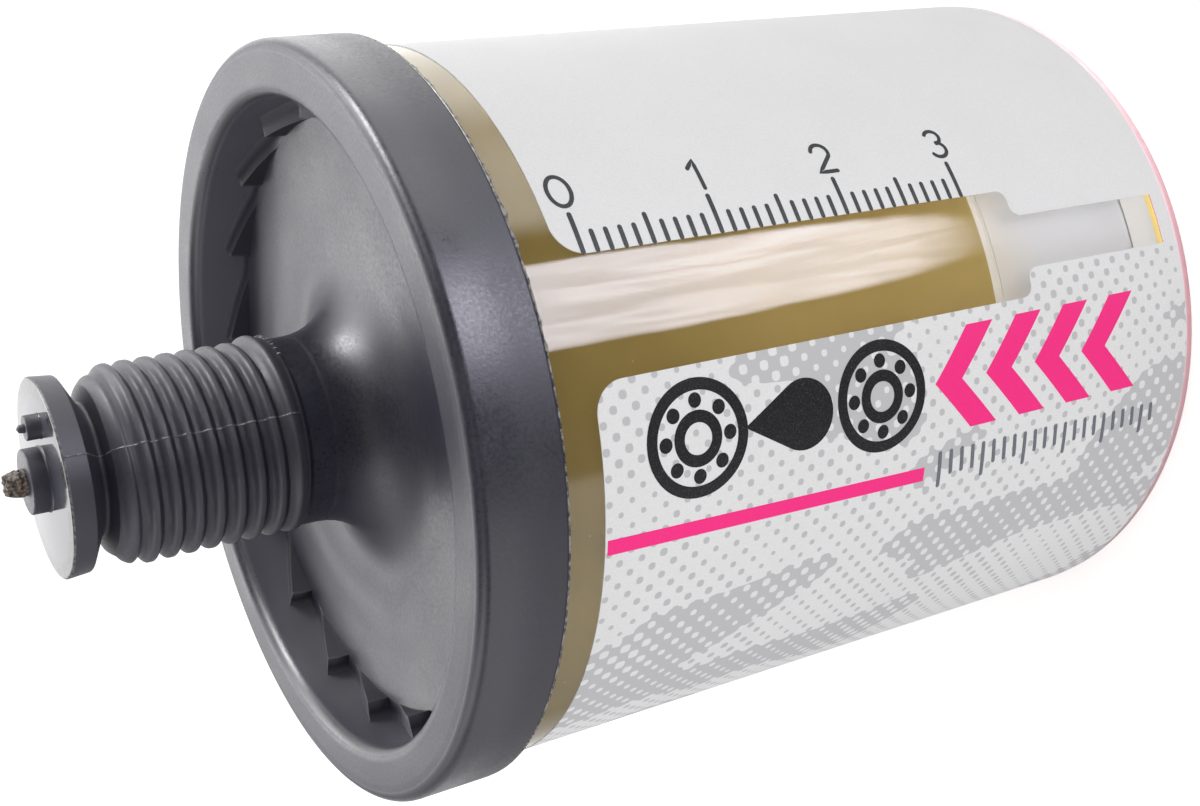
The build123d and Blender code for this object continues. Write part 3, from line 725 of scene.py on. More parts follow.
def add_cap_body(form):
    """The cap's body: ramps rise on the recess floor, and the thread winds round the nipple."""
    front, teeth, neck, thread, end = cap_outline()
    angles = cap_angles()
    outline = np.array([*front, *teeth, *neck, *thread, *end])
    radius = np.repeat(outline[:, :1], len(angles), axis=1)
    height = np.repeat(outline[:, 1:2], len(angles), axis=1)
    share = (np.degrees(angles) - tooth_drop_azimuth) % (360 / tooth_count) / (360 / tooth_count)
    ramp = tooth_height * np.minimum(share / 0.99, (1 - share) / 0.006).clip(0, 1)
    ramp = np.maximum(ramp, dish_rise)
    first_tooth = len(front)
    height[first_tooth:first_tooth + 4] += ramp
    # The thread: crests and roots a little flat, that run out at both ends
    phase = (height - thread_top - thread_shift) / thread_pitch - angles / (2 * math.pi)
    crest = (0.5 + 0.62 * np.cos(2 * math.pi * phase)).clip(0, 1)
    crest = crest ** 2 * (3 - 2 * crest) * 0.6 + crest * 0.4
    run_out = np.clip((height - thread_bottom) / 1.7, 0, 1) * np.clip((collar_top - height) / 1.6, 0, 1)
    on_thread = (height >= thread_bottom) & (height <= collar_top - 0.1) & (radius > collar_radius)
    radius -= np.where(on_thread, thread_depth * (1 - crest) * run_out, 0)
    # The ridge next to the neck bulges, most of all at the top
    round_top = 0.6 + 0.4 * np.cos(angles - math.radians(-20))
    radius += np.where(
        on_thread, 0.28 * round_top * np.exp(-((height - thread_bottom - 0.8) / 0.6) ** 2), 0,
    )
    # The parting line stands proud, thin and pale, from the neck end of the thread to the disc
    off_line = np.abs((np.degrees(angles) - parting_azimuth + 180) % 360 - 180)
    on_nipple = (height > thread_bottom + 0.2) & (height < disc_face - 0.05) & (radius > groove_radius - 0.3)
    ridge = np.exp(-(off_line / 0.3) ** 2)
    radius += np.where(on_nipple, 0.03 * ridge, 0)
    marks = np.where(on_nipple, ridge, 0)
    # The thread's crests are painted a touch paler: a painted highlight where light catches them.
    marks = np.maximum(marks, np.where(on_thread, 0.03 * crest, 0))
    edge_line = np.abs(radius - disc_radius + disc_lip / 2) + np.abs(height - disc_face)
    marks = np.maximum(marks, np.where(edge_line < 0.22, 0.35, 0))
    mould_line = (np.abs(radius - mould_line_radius) < 0.02) & (height > rim_height - 0.1)
    marks = np.maximum(marks, np.where(mould_line, 0.1, 0))
    # The teeth's inner corners are painted pale: painted glints where light catches them.
    tip = (np.abs(share - 0.985) < 0.02) & (np.abs(radius - tooth_inner_radius - tooth_round) < 0.2)
    marks = np.maximum(marks, np.where(tip & (height > recess_floor + 1), 0.19, 0))
    # The recess wall is painted paler and cooler than the rest of the plastic: painted light standing in for
    # the sheen it shows.
    wall = (np.abs(radius - recess_radius) < 0.05) & (height < rim_height - 0.6)
    marks = np.maximum(marks, np.where(wall, 0.28, 0))
    form.add_turned(radius, height, angles, marks=marks)


def add_disc_bosses(form):
    """The gate's boss with its broken stub, and the small side boss with its pip."""
    form.add_outline(rounded([
        (0, disc_face - 0.05), (boss_radius + 0.12, disc_face - 0.05), (boss_radius, disc_face + 0.1),
        (boss_radius, disc_face + gate_boss_height, 0.12), (0, disc_face + gate_boss_height),
    ]), 72)
    around = math.radians(side_boss_azimuth)
    spot = (side_boss_circle * math.cos(around), side_boss_circle * math.sin(around))
    form.add_outline(rounded([
        (0, disc_face - 0.05), (side_boss_radius + 0.08, disc_face - 0.05),
        (side_boss_radius, disc_face + 0.08),
        (side_boss_radius, disc_face + boss_height, 0.08), (side_pip_radius, disc_face + boss_height),
        (side_pip_radius * 0.8, disc_face + boss_height + side_pip_length * 0.7, 0.1), (0, disc_face + 1.4),
    ]), 36, centre=spot)
    # The stub: a cone torn off unevenly
    chance = random.Random(4)
    angles = even_angles(28)
    base = disc_face + gate_boss_height - 0.05
    levels = np.linspace(0, 1, 12)
    radius = np.outer(gate_radius - (gate_radius - gate_tip_radius) * levels ** 2.5, np.ones(28))
    height = np.outer(base + (gate_top - base) * levels, np.ones(28))
    dents = np.array([[chance.uniform(-1, 1) for _ in range(28)] for _ in range(12)])
    radius += 0.09 * dents * np.minimum(1, levels * 4)[:, None]
    height[1:] -= np.abs(0.16 * dents[1:])
    radius = np.vstack([radius[:1] * 0, radius, radius[-1:] * 0.45, radius[-1:] * 0])
    height = np.vstack([height[:1], height, height[-1:] - 0.1, height[-1:].mean() * np.ones((1, 28))])
    form.add_turned(radius, height.clip(None, gate_top), angles, finish=1)


def add_flash(form):
    """Thin torn flash along the cap's rear edge and on the thread's first ridge."""
    chance = random.Random(11)
    steps = 1200
    angles = even_angles(steps)
    busy = np.exp(-((np.degrees(angles) - 300 + 180) % 360 - 180) ** 2 / 26 ** 2)
    depth = np.array([chance.uniform(0.012, 0.03) for _ in range(steps)])
    for _ in range(34):
        spot = chance.choices(range(steps), weights=0.06 + busy)[0]
        reach_out = chance.uniform(0.05, 0.2)
        for offset in range(-2, 3):
            depth[(spot + offset) % steps] += reach_out * (1 - abs(offset) / 3) * chance.uniform(0.4, 1)
    edge = cap_radius - 0.02
    radius = np.array([np.full(steps, edge - 0.06), np.full(steps, edge), edge - 0.25 * depth])
    height = np.array([np.full(steps, cap_heel + 0.1), np.full(steps, cap_heel + 0.03), cap_heel - depth])
    form.add_turned(radius, height, angles, closed=True, marks=np.full((3, steps), 0.8))
    # Torn strands that curl away from the edge
    for _ in range(9):
        start = math.radians(302 + chance.gauss(0, 11))
        add_strand(form, chance, start, cap_radius - 0.03, cap_heel + 0.03, chance.uniform(0.25, 0.7), -0.75)
    # Ragged flash where the thread's first ridge meets the neck
    for _ in range(70):
        start = math.radians(chance.gauss(-8, 16))
        add_strand(form, chance, start, 6.62, thread_bottom + 0.12, chance.uniform(0.1, 0.32), 0.5)


def add_strand(form, chance, start, radius, level, length, lift):
    """A thin three-sided strand of flash that starts on an edge and curls out or in by lift."""
    lean = chance.uniform(-0.9, 0.9)
    points, faces = [], []
    for step in range(6):
        share = step / 5
        along = start + lean * share * length / radius + 0.08 / radius * math.sin(4 * share + lean)
        out = radius + lift * share * share * length
        half = 0.035 * (1 - share) + 0.012
        down = level - length * share * math.cos(lean)
        for side, inward in ((-half, 0), (half, 0), (0, half)):
            around = along + side / radius
            points.append(((out - inward) * math.cos(around), (out - inward) * math.sin(around), down))
        if step:
            last, this = 3 * step - 3, 3 * step
            for corner, beside in ((0, 1), (1, 2), (2, 0)):
                faces.append((last + corner, last + beside, this + beside, this + corner))
    faces += [(0, 1, 2), (15, 16, 17)]
    form.add(points, faces, marks=[1.0] * len(points))


def make_outlet_cap():
    form = Form()
    add_cap_body(form)
    add_disc_bosses(form)
    add_flash(form)
    cap = form.make("outlet_cap_dressed", "reservoir_unit",
                    [finishes["cap_plastic"], burnt_plastic()], sharp=32)
    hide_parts("outlet_cap")


# ---------------------------------------------------------------- reservoir, grease and piston

def make_reservoir():
    form = Form()
    bare = low("label") - 0.05
    form.add_outline(rounded([
        (reservoir_bore, 0), (reservoir_radius, 0, 0.4), (reservoir_radius, bare),
        (reservoir_radius, reservoir_front), (reservoir_bore, reservoir_front), (reservoir_bore, bare),
    ], closed=True), 240, closed=True)
    # The bare rear edge has a rougher moulded surface
    tops = [max(form.points[corner][2] for corner in face) for face in form.faces]
    form.finishes = [2 if top < bare + 0.01 else 0 for top in tops]
    wall_top = rear_wall_top + 0.19
    form.add_outline(rounded([
        (reservoir_bore + 0.02, wall_top + 0.6), (reservoir_bore - 0.04, wall_top),
        (port_collar_radius, wall_top - 0.19, 0.3),
        (port_collar_radius, port_collar_top, 0.4), (port_radius, port_collar_top),
        (port_radius, rear_recess_depth), (reservoir_bore + 0.02, rear_recess_depth),
    ], closed=True), 240, closed=True, finish=1)
    rough = clear_plastic("rough_clear_plastic", 0.45, (0.98, 0.84, 0.87))
    tube = form.make("reservoir_tube", "reservoir_unit",
                     [finishes["clear_plastic"], frosted_plastic(), rough])
    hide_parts("reservoir")


def make_gasket():
    """The head's flat gasket, squeezed out a little round its edge."""
    inner, outer = port_radius + 0.25, reach("generator_housing")
    bottom, top = low("head_gasket"), high("head_gasket")
    form = Form()
    form.add_outline(rounded([
        (inner, bottom), (outer, bottom, 0.03), (outer + 0.03, bottom - 0.18, 0.05),
        (reservoir_bore - 0.06, bottom - 0.2, 0.08), (reservoir_bore - 0.04, top - 0.06, 0.1),
        (outer - 0.4, top), (inner, top),
    ], closed=True), 240, closed=True)
    gasket = form.make("gasket_ring", "gasket_unit", [finishes["gasket_rubber"]])
    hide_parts("head_gasket")


def make_grease():
    """The grease column, flattened by the piston, and the grease round the piston's nose, which it pushes."""
    outer = reservoir_bore + grease_wetting
    seam, top = piston_nose + 0.1, high("grease_fill")
    form = Form()
    form.add_outline(rounded([(0, top), (outer, top, 0.3), (outer, seam), (0, seam)]), 120)
    grease = form.make("grease_charge", "reservoir_unit", [finishes["grease"]])
    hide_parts("grease_fill")
    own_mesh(grease)
    ring = Form()
    ring.add_outline(rounded([
        (outer, seam), (outer, seal_top + 0.03), (piston_radius + 0.03, seal_top + 0.03),
        (piston_radius + 0.03, piston_shoulder + 0.07, 0.1),
        (piston_nose_radius + 0.15, seam - 0.02, piston_nose_round), (piston_nose_radius, seam),
    ], closed=True), 120, closed=True)
    ring.make("grease_round_nose", "piston_unit", [finishes["grease"]])


def make_piston():
    form = Form()
    skirt = piston_radius - piston_wall
    form.add_outline(rounded([
        (0, piston_nose), (piston_nose_radius, piston_nose, piston_nose_round),
        (piston_radius, piston_shoulder, 0.15), (piston_radius, seal_top + 0.05),
        (piston_radius - 1, seal_top + 0.05), (piston_radius - 1, seal_bottom - 0.05),
        (piston_radius, seal_bottom - 0.05), (piston_radius, piston_bottom + 1.5),
        (piston_guide_radius, piston_bottom + 1.2), (piston_guide_radius, piston_bottom),
        (skirt, piston_bottom), (skirt, piston_shoulder - piston_roof),
        (piston_nose_radius, piston_nose - piston_roof, piston_nose_round), (0, piston_nose - piston_roof),
    ]), 160)
    piston = form.make("piston_shell", "piston_unit", [finishes["piston_plastic"]])
    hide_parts("piston")
    ring = Form()
    inner = piston_radius - 0.95
    ring.add_outline(rounded([
        (inner, seal_bottom), (piston_radius + 0.02, seal_bottom),
        (piston_guide_radius, seal_bottom + 0.5, 0.2),
        (piston_guide_radius, seal_top, 0.05), (inner, seal_top),
    ], closed=True), 160, closed=True)
    seal = ring.make("piston_seal_ring", "piston_unit", [finishes["seal_rubber"]])
    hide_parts("piston_seal")


# ---------------------------------------------------------------- label and its print

def label_columns():
    """(sideways distance from the window's middle, front end of the label there) round the sleeve."""
    narrow, wide = window_narrow_half_width, window_half_width
    small, large = window_step_radius, window_corner_radius
    half = [(0, window_rear_height), (narrow, window_rear_height)]
    for step in range(9):
        angle = math.pi / 2 * step / 8
        half.append((narrow + small * (1 - math.cos(angle)),
                     window_step_height - small * (1 - math.sin(angle))))
    for step in range(9):
        angle = math.pi / 2 * step / 8
        half.append((wide - small * (1 - math.sin(angle)),
                     window_step_height + small * (1 - math.cos(angle))))
    for step in range(17):
        angle = math.pi / 2 * step / 16
        half.append((wide + large * (1 - math.cos(angle)), label_front - large * (1 - math.sin(angle))))
    return half


def make_label():
    half = label_columns()
    sides = [(math.asin(x / label_radius), top) for x, top in half]
    last = sides[-1][0]
    rest = [last + (2 * math.pi - 2 * last) * step / 230 for step in range(1, 230)]
    columns = sides + [(angle, label_front) for angle in rest]
    columns += [(2 * math.pi - angle, top) for angle, top in reversed(sides[1:])]
    middle = math.radians(window_azimuth)
    points, faces = [], []
    for angle, top in columns:
        across, out = math.cos(middle + angle), math.sin(middle + angle)
        for radius, level in (
            (reservoir_radius, label_rear), (label_radius, label_rear),
            (label_radius, top), (reservoir_radius, top),
        ):
            points.append((radius * across, radius * out, level))
    count = len(columns)
    for index in range(count):
        here, beside = 4 * index, 4 * ((index + 1) % count)
        for corner in range(4):
            following = (corner + 1) % 4
            faces.append((here + corner, beside + corner, beside + following, here + following))
    form = Form()
    form.add(points, faces)
    label = form.make("label_sleeve", "reservoir_unit", [finishes["label_film"]], sharp=30)
    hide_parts("label")


def on_label(along, height, lift=0.012):
    """A point on the label, along mm round it from the window's middle towards +x."""
    angle = math.radians(window_azimuth) + along / label_radius
    radius = label_radius + lift
    return radius * math.cos(angle), radius * math.sin(angle), height


def add_stroke(form, path, width, place, ends=5):
    """Adds a flat stroke of ink along a path, with round ends; marks are 0 in its middle, 1 at its edge."""
    path = [Vector(point) for point in path]
    dense = [path[0]]
    for start, end in zip(path, path[1:]):
        parts = max(1, math.ceil((end - start).length / 0.5))
        dense.extend(start.lerp(end, part / parts) for part in range(1, parts + 1))
    rows = []
    for index, point in enumerate(dense):
        before, after = dense[max(0, index - 1)], dense[min(len(dense) - 1, index + 1)]
        aside = (after - before).normalized()
        rows.append((point, Vector((-aside.y, aside.x))))
    half = width / 2
    first_way = (dense[0] - dense[1]).normalized()
    last_way = (dense[-1] - dense[-2]).normalized()
    caps_first = [
        (rows[0][0] + first_way * half * math.sin(a), rows[0][1], math.cos(a))
        for a in (math.pi / 2 * (1 - step / ends) * 0.98 for step in range(ends))
    ]
    caps_last = [
        (rows[-1][0] + last_way * half * math.sin(a), rows[-1][1], math.cos(a))
        for a in (math.pi / 2 * (step + 1) / ends * 0.98 for step in range(ends))
    ]
    stations = caps_first + [(point, aside, 1.0) for point, aside in rows] + caps_last
    points, marks, faces = [], [], []
    last = len(stations) - 1
    for index, (point, aside, scale) in enumerate(stations):
        tip = 1.0 if index in (0, last) else 0.0
        for share in (-1, -0.45, 0.45, 1):
            spot = point + aside * half * scale * share
            points.append(place(spot.x, spot.y))
            marks.append(max(abs(share) if abs(share) > 0.5 else 0.0, tip))
        if index:
            for lane in range(3):
                corner = 4 * (index - 1) + lane
                faces.append((corner, corner + 1, corner + 5, corner + 4))
    form.add(points, faces, marks=marks)


def arc(centre, radius, start, end, squeeze=1.0, steps=14):
    """Points of an arc; squeeze narrows it sideways."""
    angles = [math.radians(start + (end - start) * step / steps) for step in range(steps + 1)]
    return [(centre[0] + radius * squeeze * math.cos(a), centre[1] + radius * math.sin(a)) for a in angles]


def digit_paths(digit):
    """Stroke paths of a digit in a box 0.72 wide and 1 high."""
    return {
        "0": [arc((0.36, 0.5), 0.5, 90, 450, 0.72, 32)],
        "1": [[(0.12, 0.72), (0.4, 1.0), (0.4, 0.0)]],
        "2": [arc((0.36, 0.7), 0.3, 165, -28, 1.05) + [(0.03, 0.0), (0.7, 0.0)]],
        "3": [
            arc((0.34, 0.75), 0.25, 150, -80, 1.15),
            arc((0.34, 0.27), 0.27, 82, -150, 1.15),
        ],
        "4": [[(0.52, 0.0), (0.52, 1.0), (0.02, 0.3), (0.72, 0.3)]],
        "5": [[(0.64, 1.0), (0.16, 1.0), (0.1, 0.56)] + arc((0.34, 0.31), 0.31, 125, -150, 1.1)],
        "6": [arc((0.36, 0.31), 0.31, 90, 450, 1.05, 24), [(0.06, 0.42), (0.2, 0.75), (0.5, 1.0)]],
        "7": [[(0.04, 1.0), (0.68, 1.0), (0.28, 0.0)]],
        "8": [arc((0.36, 0.75), 0.25, 0, 360, 1.05, 24), arc((0.36, 0.26), 0.26, 0, 360, 1.2, 24)],
        "9": [arc((0.36, 0.69), 0.31, 0, 360, 1.05, 24), [(0.66, 0.58), (0.52, 0.25), (0.22, 0.0)]],
    }[digit]


def make_scale():
    """The fill scale beside the window: a tick for each millimetre and a number for each ten."""
    form = Form()
    zero_height = label_front - 1.65
    tick_start = window_half_width + 0.12
    for step in range(31):
        if step % 10 == 0:
            tick_end = 6.4
        elif step % 5 == 0:
            tick_end = 5.75
        else:
            tick_end = 5.15
        level = zero_height - step
        add_stroke(form, [(tick_start, level), (tick_end, level)], 0.33, on_label)
    digit_height = 2.15
    for number in range(4):
        level = zero_height - 10 * number
        for path in digit_paths(str(number)):
            placed = [
                (6.98 + y * digit_height, level - (x - 0.36) * digit_height) for x, y in path
            ]
            add_stroke(form, placed, 0.29, on_label)
    scale_ink = ink("scale_ink", (0.022, 0.027, 0.027), (0.008, 0.01, 0.01), 0.07)
    form.make("fill_scale", "reservoir_unit", [scale_ink])


def add_patch(form, outline, holes=()):
    """Adds a filled flat shape on the label, cut into strips so that it follows the curve."""
    work = bmesh.new()
    loops = [outline, *holes]
    edges = []
    for loop in loops:
        corners = [work.verts.new((x, y, 0)) for x, y in loop]
        edges += [work.edges.new((a, b)) for a, b in zip(corners, corners[1:] + corners[:1])]
    bmesh.ops.triangle_fill(work, use_beauty=True, use_dissolve=False, edges=edges)
    left = min(x for x, _ in outline)
    right = max(x for x, _ in outline)
    cut = left + 0.6
    while cut < right:
        parts = work.verts[:] + work.edges[:] + work.faces[:]
        bmesh.ops.bisect_plane(work, geom=parts, plane_co=(cut, 0, 0), plane_no=(1, 0, 0))
        cut += 0.6
    work.verts.index_update()
    points = [on_label(v.co.x, v.co.y, 0.01) for v in work.verts]
    faces = [tuple(v.index for v in face.verts) for face in work.faces]
    form.add(points, faces)
    work.free()


def circle(x, y, radius, steps=40):
    """Points of a circle."""
    return [
        (x + radius * math.cos(2 * math.pi * k / steps), y + radius * math.sin(2 * math.pi * k / steps))
        for k in range(steps)
    ]


def drop(x, y, radius, reach_out):
    """A drop whose point faces the outlet."""
    lean = math.acos(radius / reach_out)
    points = [(x, y + reach_out)]
    for step in range(31):
        angle = math.pi / 2 + lean + (2 * math.pi - 2 * lean) * step / 30
        points.append((x + radius * math.cos(angle), y + radius * math.sin(angle)))
    return points


def make_print():
    """The label's plain artwork: bearing rings and drops in black, arrowheads in pink, one stripe."""
    black = Form()
    middle = -8.3
    for level in (45.0, 30.5):
        add_patch(black, circle(middle, level, 3.7, 64), [circle(middle, level, 2.95, 56)[::-1]])
        add_patch(black, circle(middle, level, 1.75, 40), [circle(middle, level, 1.0, 32)[::-1]])
        for ball in range(8):
            angle = math.radians(45 * ball)
            spot = (middle + 2.35 * math.cos(angle), level + 2.35 * math.sin(angle))
            add_patch(black, circle(*spot, 0.47, 20))
    add_patch(black, drop(middle, 36.9, 2.3, 4.6))
    black_ink = ink("black_ink", (0.012, 0.012, 0.014), (0.012, 0.012, 0.014), 0.06)
    black.make("bearing_print", "reservoir_unit", [black_ink])
    pink = Form()
    for index in range(4):
        level = 24.6 - 4.6 * index
        half = 3.5
        add_patch(pink, [
            (middle - half, level - 1.9), (middle, level + 1.3), (middle + half, level - 1.9),
            (middle + half, level - 4.3), (middle, level - 1.1), (middle - half, level - 4.3),
        ])
    add_patch(pink, [(-13.3, 51.6), (-14.3, 51.6), (-14.95, 26.6), (-13.95, 26.6)])
    pink_ink = ink("pink_ink", (1.0, 0.025, 0.25), (1.0, 0.025, 0.25), 0.03)
    pink.make("arrow_print", "reservoir_unit", [pink_ink])
    grey = Form()
    for index in range(22):
        level = 25.3 - 1.0 * index
        length = 1.6 if index % 4 else 2.4
        add_stroke(grey, [(-13.2 - 0.02 * index, level), (-13.2 - length, level - 0.15)], 0.32, on_label)
    grey_ink = ink("grey_ink", (0.16, 0.17, 0.2), (0.1, 0.11, 0.13), 0.15)
    grey.make("dash_print", "reservoir_unit", [grey_ink])


# ---------------------------------------------------------------- generator head

def make_head_numbers():
    """Running times, 0 to 12 months, round the dial. They lie just inside the head's face."""
    form = Form()
    head_face = low("generator_housing")

    def flat_digit(text, angle, radius, size):
        wide = 0.8 * size * len(text)
        for place_in_text, digit in enumerate(text):
            for path in digit_paths(digit):
                def put(x, y, offset=place_in_text):
                    across = (x + 0.8 * offset) * size - wide / 2 + 0.04 * size
                    out = radius + (y - 0.5) * size
                    right = (-math.cos(angle + math.pi / 2), -math.sin(angle + math.pi / 2))
                    away = (math.cos(angle), math.sin(angle))
                    return (
                        out * away[0] + across * right[0],
                        out * away[1] + across * right[1],
                        head_face + 0.02,
                    )
                add_stroke(form, path, 0.17, put)

    for month in range(13):
        azimuth = math.radians(-90 + 25 * month)
        flat_digit(str(month), azimuth, 9.6, 2.1)
    form.make("month_numbers", "generator_unit",
              [ink("number_ink", (0.8, 0.8, 0.78), (0.8, 0.8, 0.78), 0.05)])


# ---------------------------------------------------------------- floor, light and camera

plain_light = 0.95
lamp_distance = 1.5

def make_floor():
    """A pale floor that keeps the object's shadow and shows white to the camera."""
    made, tree, shader = new_material("studio_floor")
    tree.nodes.remove(shader)
    output = tree.nodes["Material Output"]
    path = node(tree, "LightPath")
    plain = node(tree, "BsdfDiffuse", Color=(0.8, 0.8, 0.8))
    lift = node(tree, "Emission", Color=(1, 1, 1), Strength=0.42)
    shown = node(tree, "AddShader")
    tree.links.new(plain.outputs[0], shown.inputs[0])
    tree.links.new(lift.outputs[0], shown.inputs[1])
    by_camera = node(tree, "MixShader", Fac=path.outputs["Is Camera Ray"])
    tree.links.new(plain.outputs[0], by_camera.inputs[1])
    tree.links.new(shown.outputs[0], by_camera.inputs[2])
    unseen = calc(tree, "MAXIMUM", path.outputs["Is Glossy Ray"], path.outputs["Is Shadow Ray"])
    by_gloss = node(tree, "MixShader", Fac=unseen)
    tree.links.new(by_camera.outputs[0], by_gloss.inputs[1])
    tree.links.new(node(tree, "BsdfTransparent").outputs[0], by_gloss.inputs[2])
    white = node(tree, "Emission", Color=(1, 1, 1), Strength=1.0)
    by_glass = node(tree, "MixShader", Fac=path.outputs["Is Transmission Ray"])
    tree.links.new(by_gloss.outputs[0], by_glass.inputs[1])
    tree.links.new(white.outputs[0], by_glass.inputs[2])
    from_below = node(tree, "MixShader", Fac=node(tree, "NewGeometry").outputs["Backfacing"])
    tree.links.new(by_glass.outputs[0], from_below.inputs[1])
    tree.links.new(node(tree, "BsdfTransparent").outputs[0], from_below.inputs[2])
    tree.links.new(from_below.outputs[0], output.inputs["Surface"])
    mesh = bpy.data.meshes.new("studio_floor")
    work = bmesh.new()
    bmesh.ops.create_grid(work, x_segments=4, y_segments=4, size=3.0)
    bmesh.ops.translate(work, verts=work.verts, vec=(0, 0, -0.02 * MM))
    work.to_mesh(mesh)
    work.free()
    mesh.materials.append(made)
    floor = bpy.data.objects.new("studio_floor", mesh)
    bpy.context.scene.collection.objects.link(floor)


def ring_of_walls(tree, place, walls, brightest):
    """Brightness round the studio from (azimuth in degrees, level) stops."""
    ring = node(tree, "ValToRGB", Fac=place)
    stops = ring.color_ramp.elements
    while len(stops) < len(walls):
        stops.new(0.5)
    for stop, (azimuth, level) in zip(stops, walls):
        stop.position = (azimuth + 180) / 360
        stop.color = (level / brightest,) * 3 + (1,)
    return calc(tree, "MULTIPLY", ring.outputs["Color"], brightest)


def light_world():
    """An even studio: plain light on the object, and two rings of walls for gloss to mirror."""
    world = bpy.data.worlds.new("studio")
    bpy.context.scene.world = world
    world.use_nodes = True
    world.cycles.sampling_method = "NONE"
    tree = world.node_tree
    tree.nodes.clear()
    split = node(tree, "SeparateXYZ", Vector=node(tree, "TexCoord").outputs["Generated"])
    azimuth = calc(tree, "ARCTAN2", split.outputs["Y"], split.outputs["X"])
    around = rescale(tree, azimuth, -math.pi, math.pi)
    rise = split.outputs["Z"]
    below = ring_of_walls(tree, around, [
        (-180, 1.5), (-168, 1.75), (-150, 1.95), (-131, 2.0), (-127, 0.3), (-100, 0.1), (-53, 0.1),
        (-46, 4.0), (-25, 3.7), (-12, 2.3), (5, 3.5), (28, 2.8), (80, 1.4), (115, 0.9), (140, 0.5),
        (165, 1.1), (180, 1.5),
    ], 4.0)
    below = calc(tree, "MULTIPLY", below, rescale(tree, rise, -0.62, -0.48, 0.2, 1.0, True))
    above = ring_of_walls(tree, around, [
        (-180, 0.8), (-160, 0.5), (-140, 0.15), (-60, 0.1), (-45, 0.5), (-10, 1.2), (30, 1.9),
        (60, 2.0), (72, 2.0), (84, 2.1), (90, 1.5), (96, 0.85), (108, 0.55),
        (130, 0.45), (155, 0.65), (180, 0.8),
    ], 4.0)
    above = calc(tree, "MULTIPLY", above, rescale(tree, rise, 0.28, 0.64, 0.84, 4.2, True))
    above = calc(tree, "MULTIPLY", above, rescale(tree, rise, 0.66, 0.86, 1.0, 0.1, True))
    half = rescale(tree, rise, -0.12, 0.12, 0.0, 1.0, True)
    mirrored = calc(tree, "MULTIPLY_ADD", calc(tree, "SUBTRACT", above, below), half, below)
    path = node(tree, "LightPath")
    gloss = path.outputs["Is Glossy Ray"]
    plain = calc(tree, "MULTIPLY_ADD", split.outputs["Y"], -0.24, plain_light)
    shown = calc(tree, "MULTIPLY_ADD", calc(tree, "SUBTRACT", mirrored, plain), gloss, plain)
    seen = calc(tree, "MAXIMUM", path.outputs["Is Camera Ray"], path.outputs["Is Transmission Ray"])
    strength = calc(tree, "MULTIPLY_ADD", calc(tree, "SUBTRACT", 1.0, shown), seen, shown)
    background = node(tree, "Background", Color=(1, 1, 1), Strength=strength)
    output = tree.nodes.new("ShaderNodeOutputWorld")
    tree.links.new(background.outputs[0], output.inputs["Surface"])


def direction(azimuth, elevation):
    """A unit vector from azimuth and elevation in degrees."""
    around, up = math.radians(azimuth), math.radians(elevation)
    return Vector((math.cos(up) * math.cos(around), math.cos(up) * math.sin(around), math.sin(up)))


def panel_light(brightness, colour, edge, fade_to, fade_from, marbled):
    """Light of a softbox: even inside, soft at its edge, faded towards its lower end."""
    made, tree, shader = new_material("soft_box_light")
    tree.nodes.remove(shader)
    place = node(tree, "TexCoord").outputs["Generated"]
    split = node(tree, "SeparateXYZ", Vector=place)
    across = calc(tree, "MULTIPLY_ADD", split.outputs["X"], 2.0, -1.0)
    up = calc(tree, "MULTIPLY_ADD", split.outputs["Y"], 2.0, -1.0)
    square = calc(tree, "ADD", calc(tree, "POWER", calc(tree, "ABSOLUTE", across), 2.4),
                  calc(tree, "POWER", calc(tree, "ABSOLUTE", up), 2.4))
    level = rescale(tree, square, edge, 1.0, brightness, 0.0, True)
    level = calc(tree, "MULTIPLY", level, rescale(tree, up, fade_to, fade_from, 0.0, 1.0, True))
    if marbled:
        streaks = node(tree, "TexNoise", Vector=place, Scale=2.6, Detail=2.0, Roughness=0.45, Distortion=3.6)
        level = calc(tree, "MULTIPLY", level, rescale(
            tree, streaks.outputs["Fac"], 0.35, 0.65, 1 - marbled, 1 + marbled,
        ))
    glow = node(tree, "Emission", Color=colour, Strength=level)
    tree.links.new(glow.outputs[0], tree.nodes["Material Output"].inputs["Surface"])
    return made


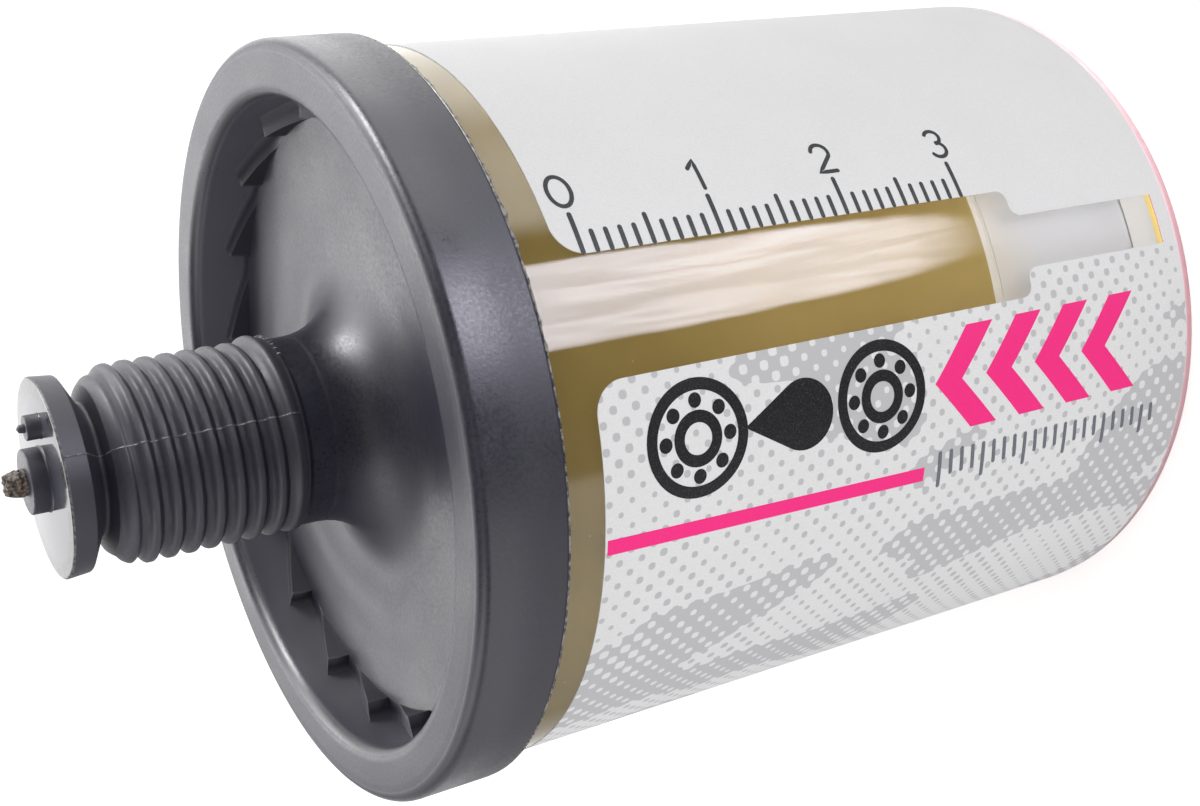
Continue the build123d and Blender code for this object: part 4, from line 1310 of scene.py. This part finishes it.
def soft_box(name, azimuth, elevation, wide, tall, brightness, colour=(1, 1, 1), edge=0.82,
             fade=(-1.2, -1.1), marbled=0.0):
    """A distant softbox that only gloss mirrors; wide and tall are its angles, as seen from the object."""
    half_wide = lamp_distance * math.tan(math.radians(wide / 2))
    half_tall = lamp_distance * math.tan(math.radians(tall / 2))
    mesh = bpy.data.meshes.new(name)
    work = bmesh.new()
    bmesh.ops.create_grid(work, x_segments=2, y_segments=2, size=1.0)
    bmesh.ops.scale(work, verts=work.verts, vec=(half_wide, half_tall, 1))
    work.to_mesh(mesh)
    work.free()
    mesh.materials.append(panel_light(brightness, colour, edge, *fade, marbled))
    made = bpy.data.objects.new(name, mesh)
    away = direction(azimuth, elevation)
    turn = away.to_track_quat("Z", "Y").to_matrix().to_4x4()
    made.matrix_world = Matrix.Translation(Vector((0, 0, 40 * MM)) + away * lamp_distance) @ turn
    made.visible_camera = False
    made.visible_transmission = False
    made.visible_diffuse = False
    made.visible_shadow = False
    bpy.context.scene.collection.objects.link(made)


def place_camera():
    """A close view of the front and the outlet, with the outlet axis nearly level in the picture."""
    camera = bpy.data.objects.new("camera", bpy.data.cameras.new("camera"))
    camera.data.lens = 47.4646
    camera.data.clip_start = 0.01
    aim = Vector((-2.3275, 1.1151, 36.5075)) * MM
    away = direction(-95.806, 30.10)
    level = away.to_track_quat("Z", "Y").to_matrix().to_4x4()
    roll = Matrix.Rotation(math.radians(-101.72), 4, "Z")
    camera.matrix_world = Matrix.Translation(aim + away * 120.626 * MM) @ level @ roll
    bpy.context.scene.collection.objects.link(camera)
    bpy.context.scene.camera = camera


finish_cad_nodes()
make_outlet_cap()
make_reservoir()
make_gasket()
make_grease()
make_piston()
make_label()
make_scale()
make_print()
make_head_numbers()
make_floor()
light_world()
soft_box("lower_soft_box", -75.2, -25, 25.0, 42.6, 11.9, (1.0, 0.99, 1.12), 0.74, (-0.98, -0.66), 0.2)
soft_box("side_soft_box", -5, 29, 19.5, 28, 30.0)
place_camera()
bpy.context.scene.view_settings.view_transform = "Standard"
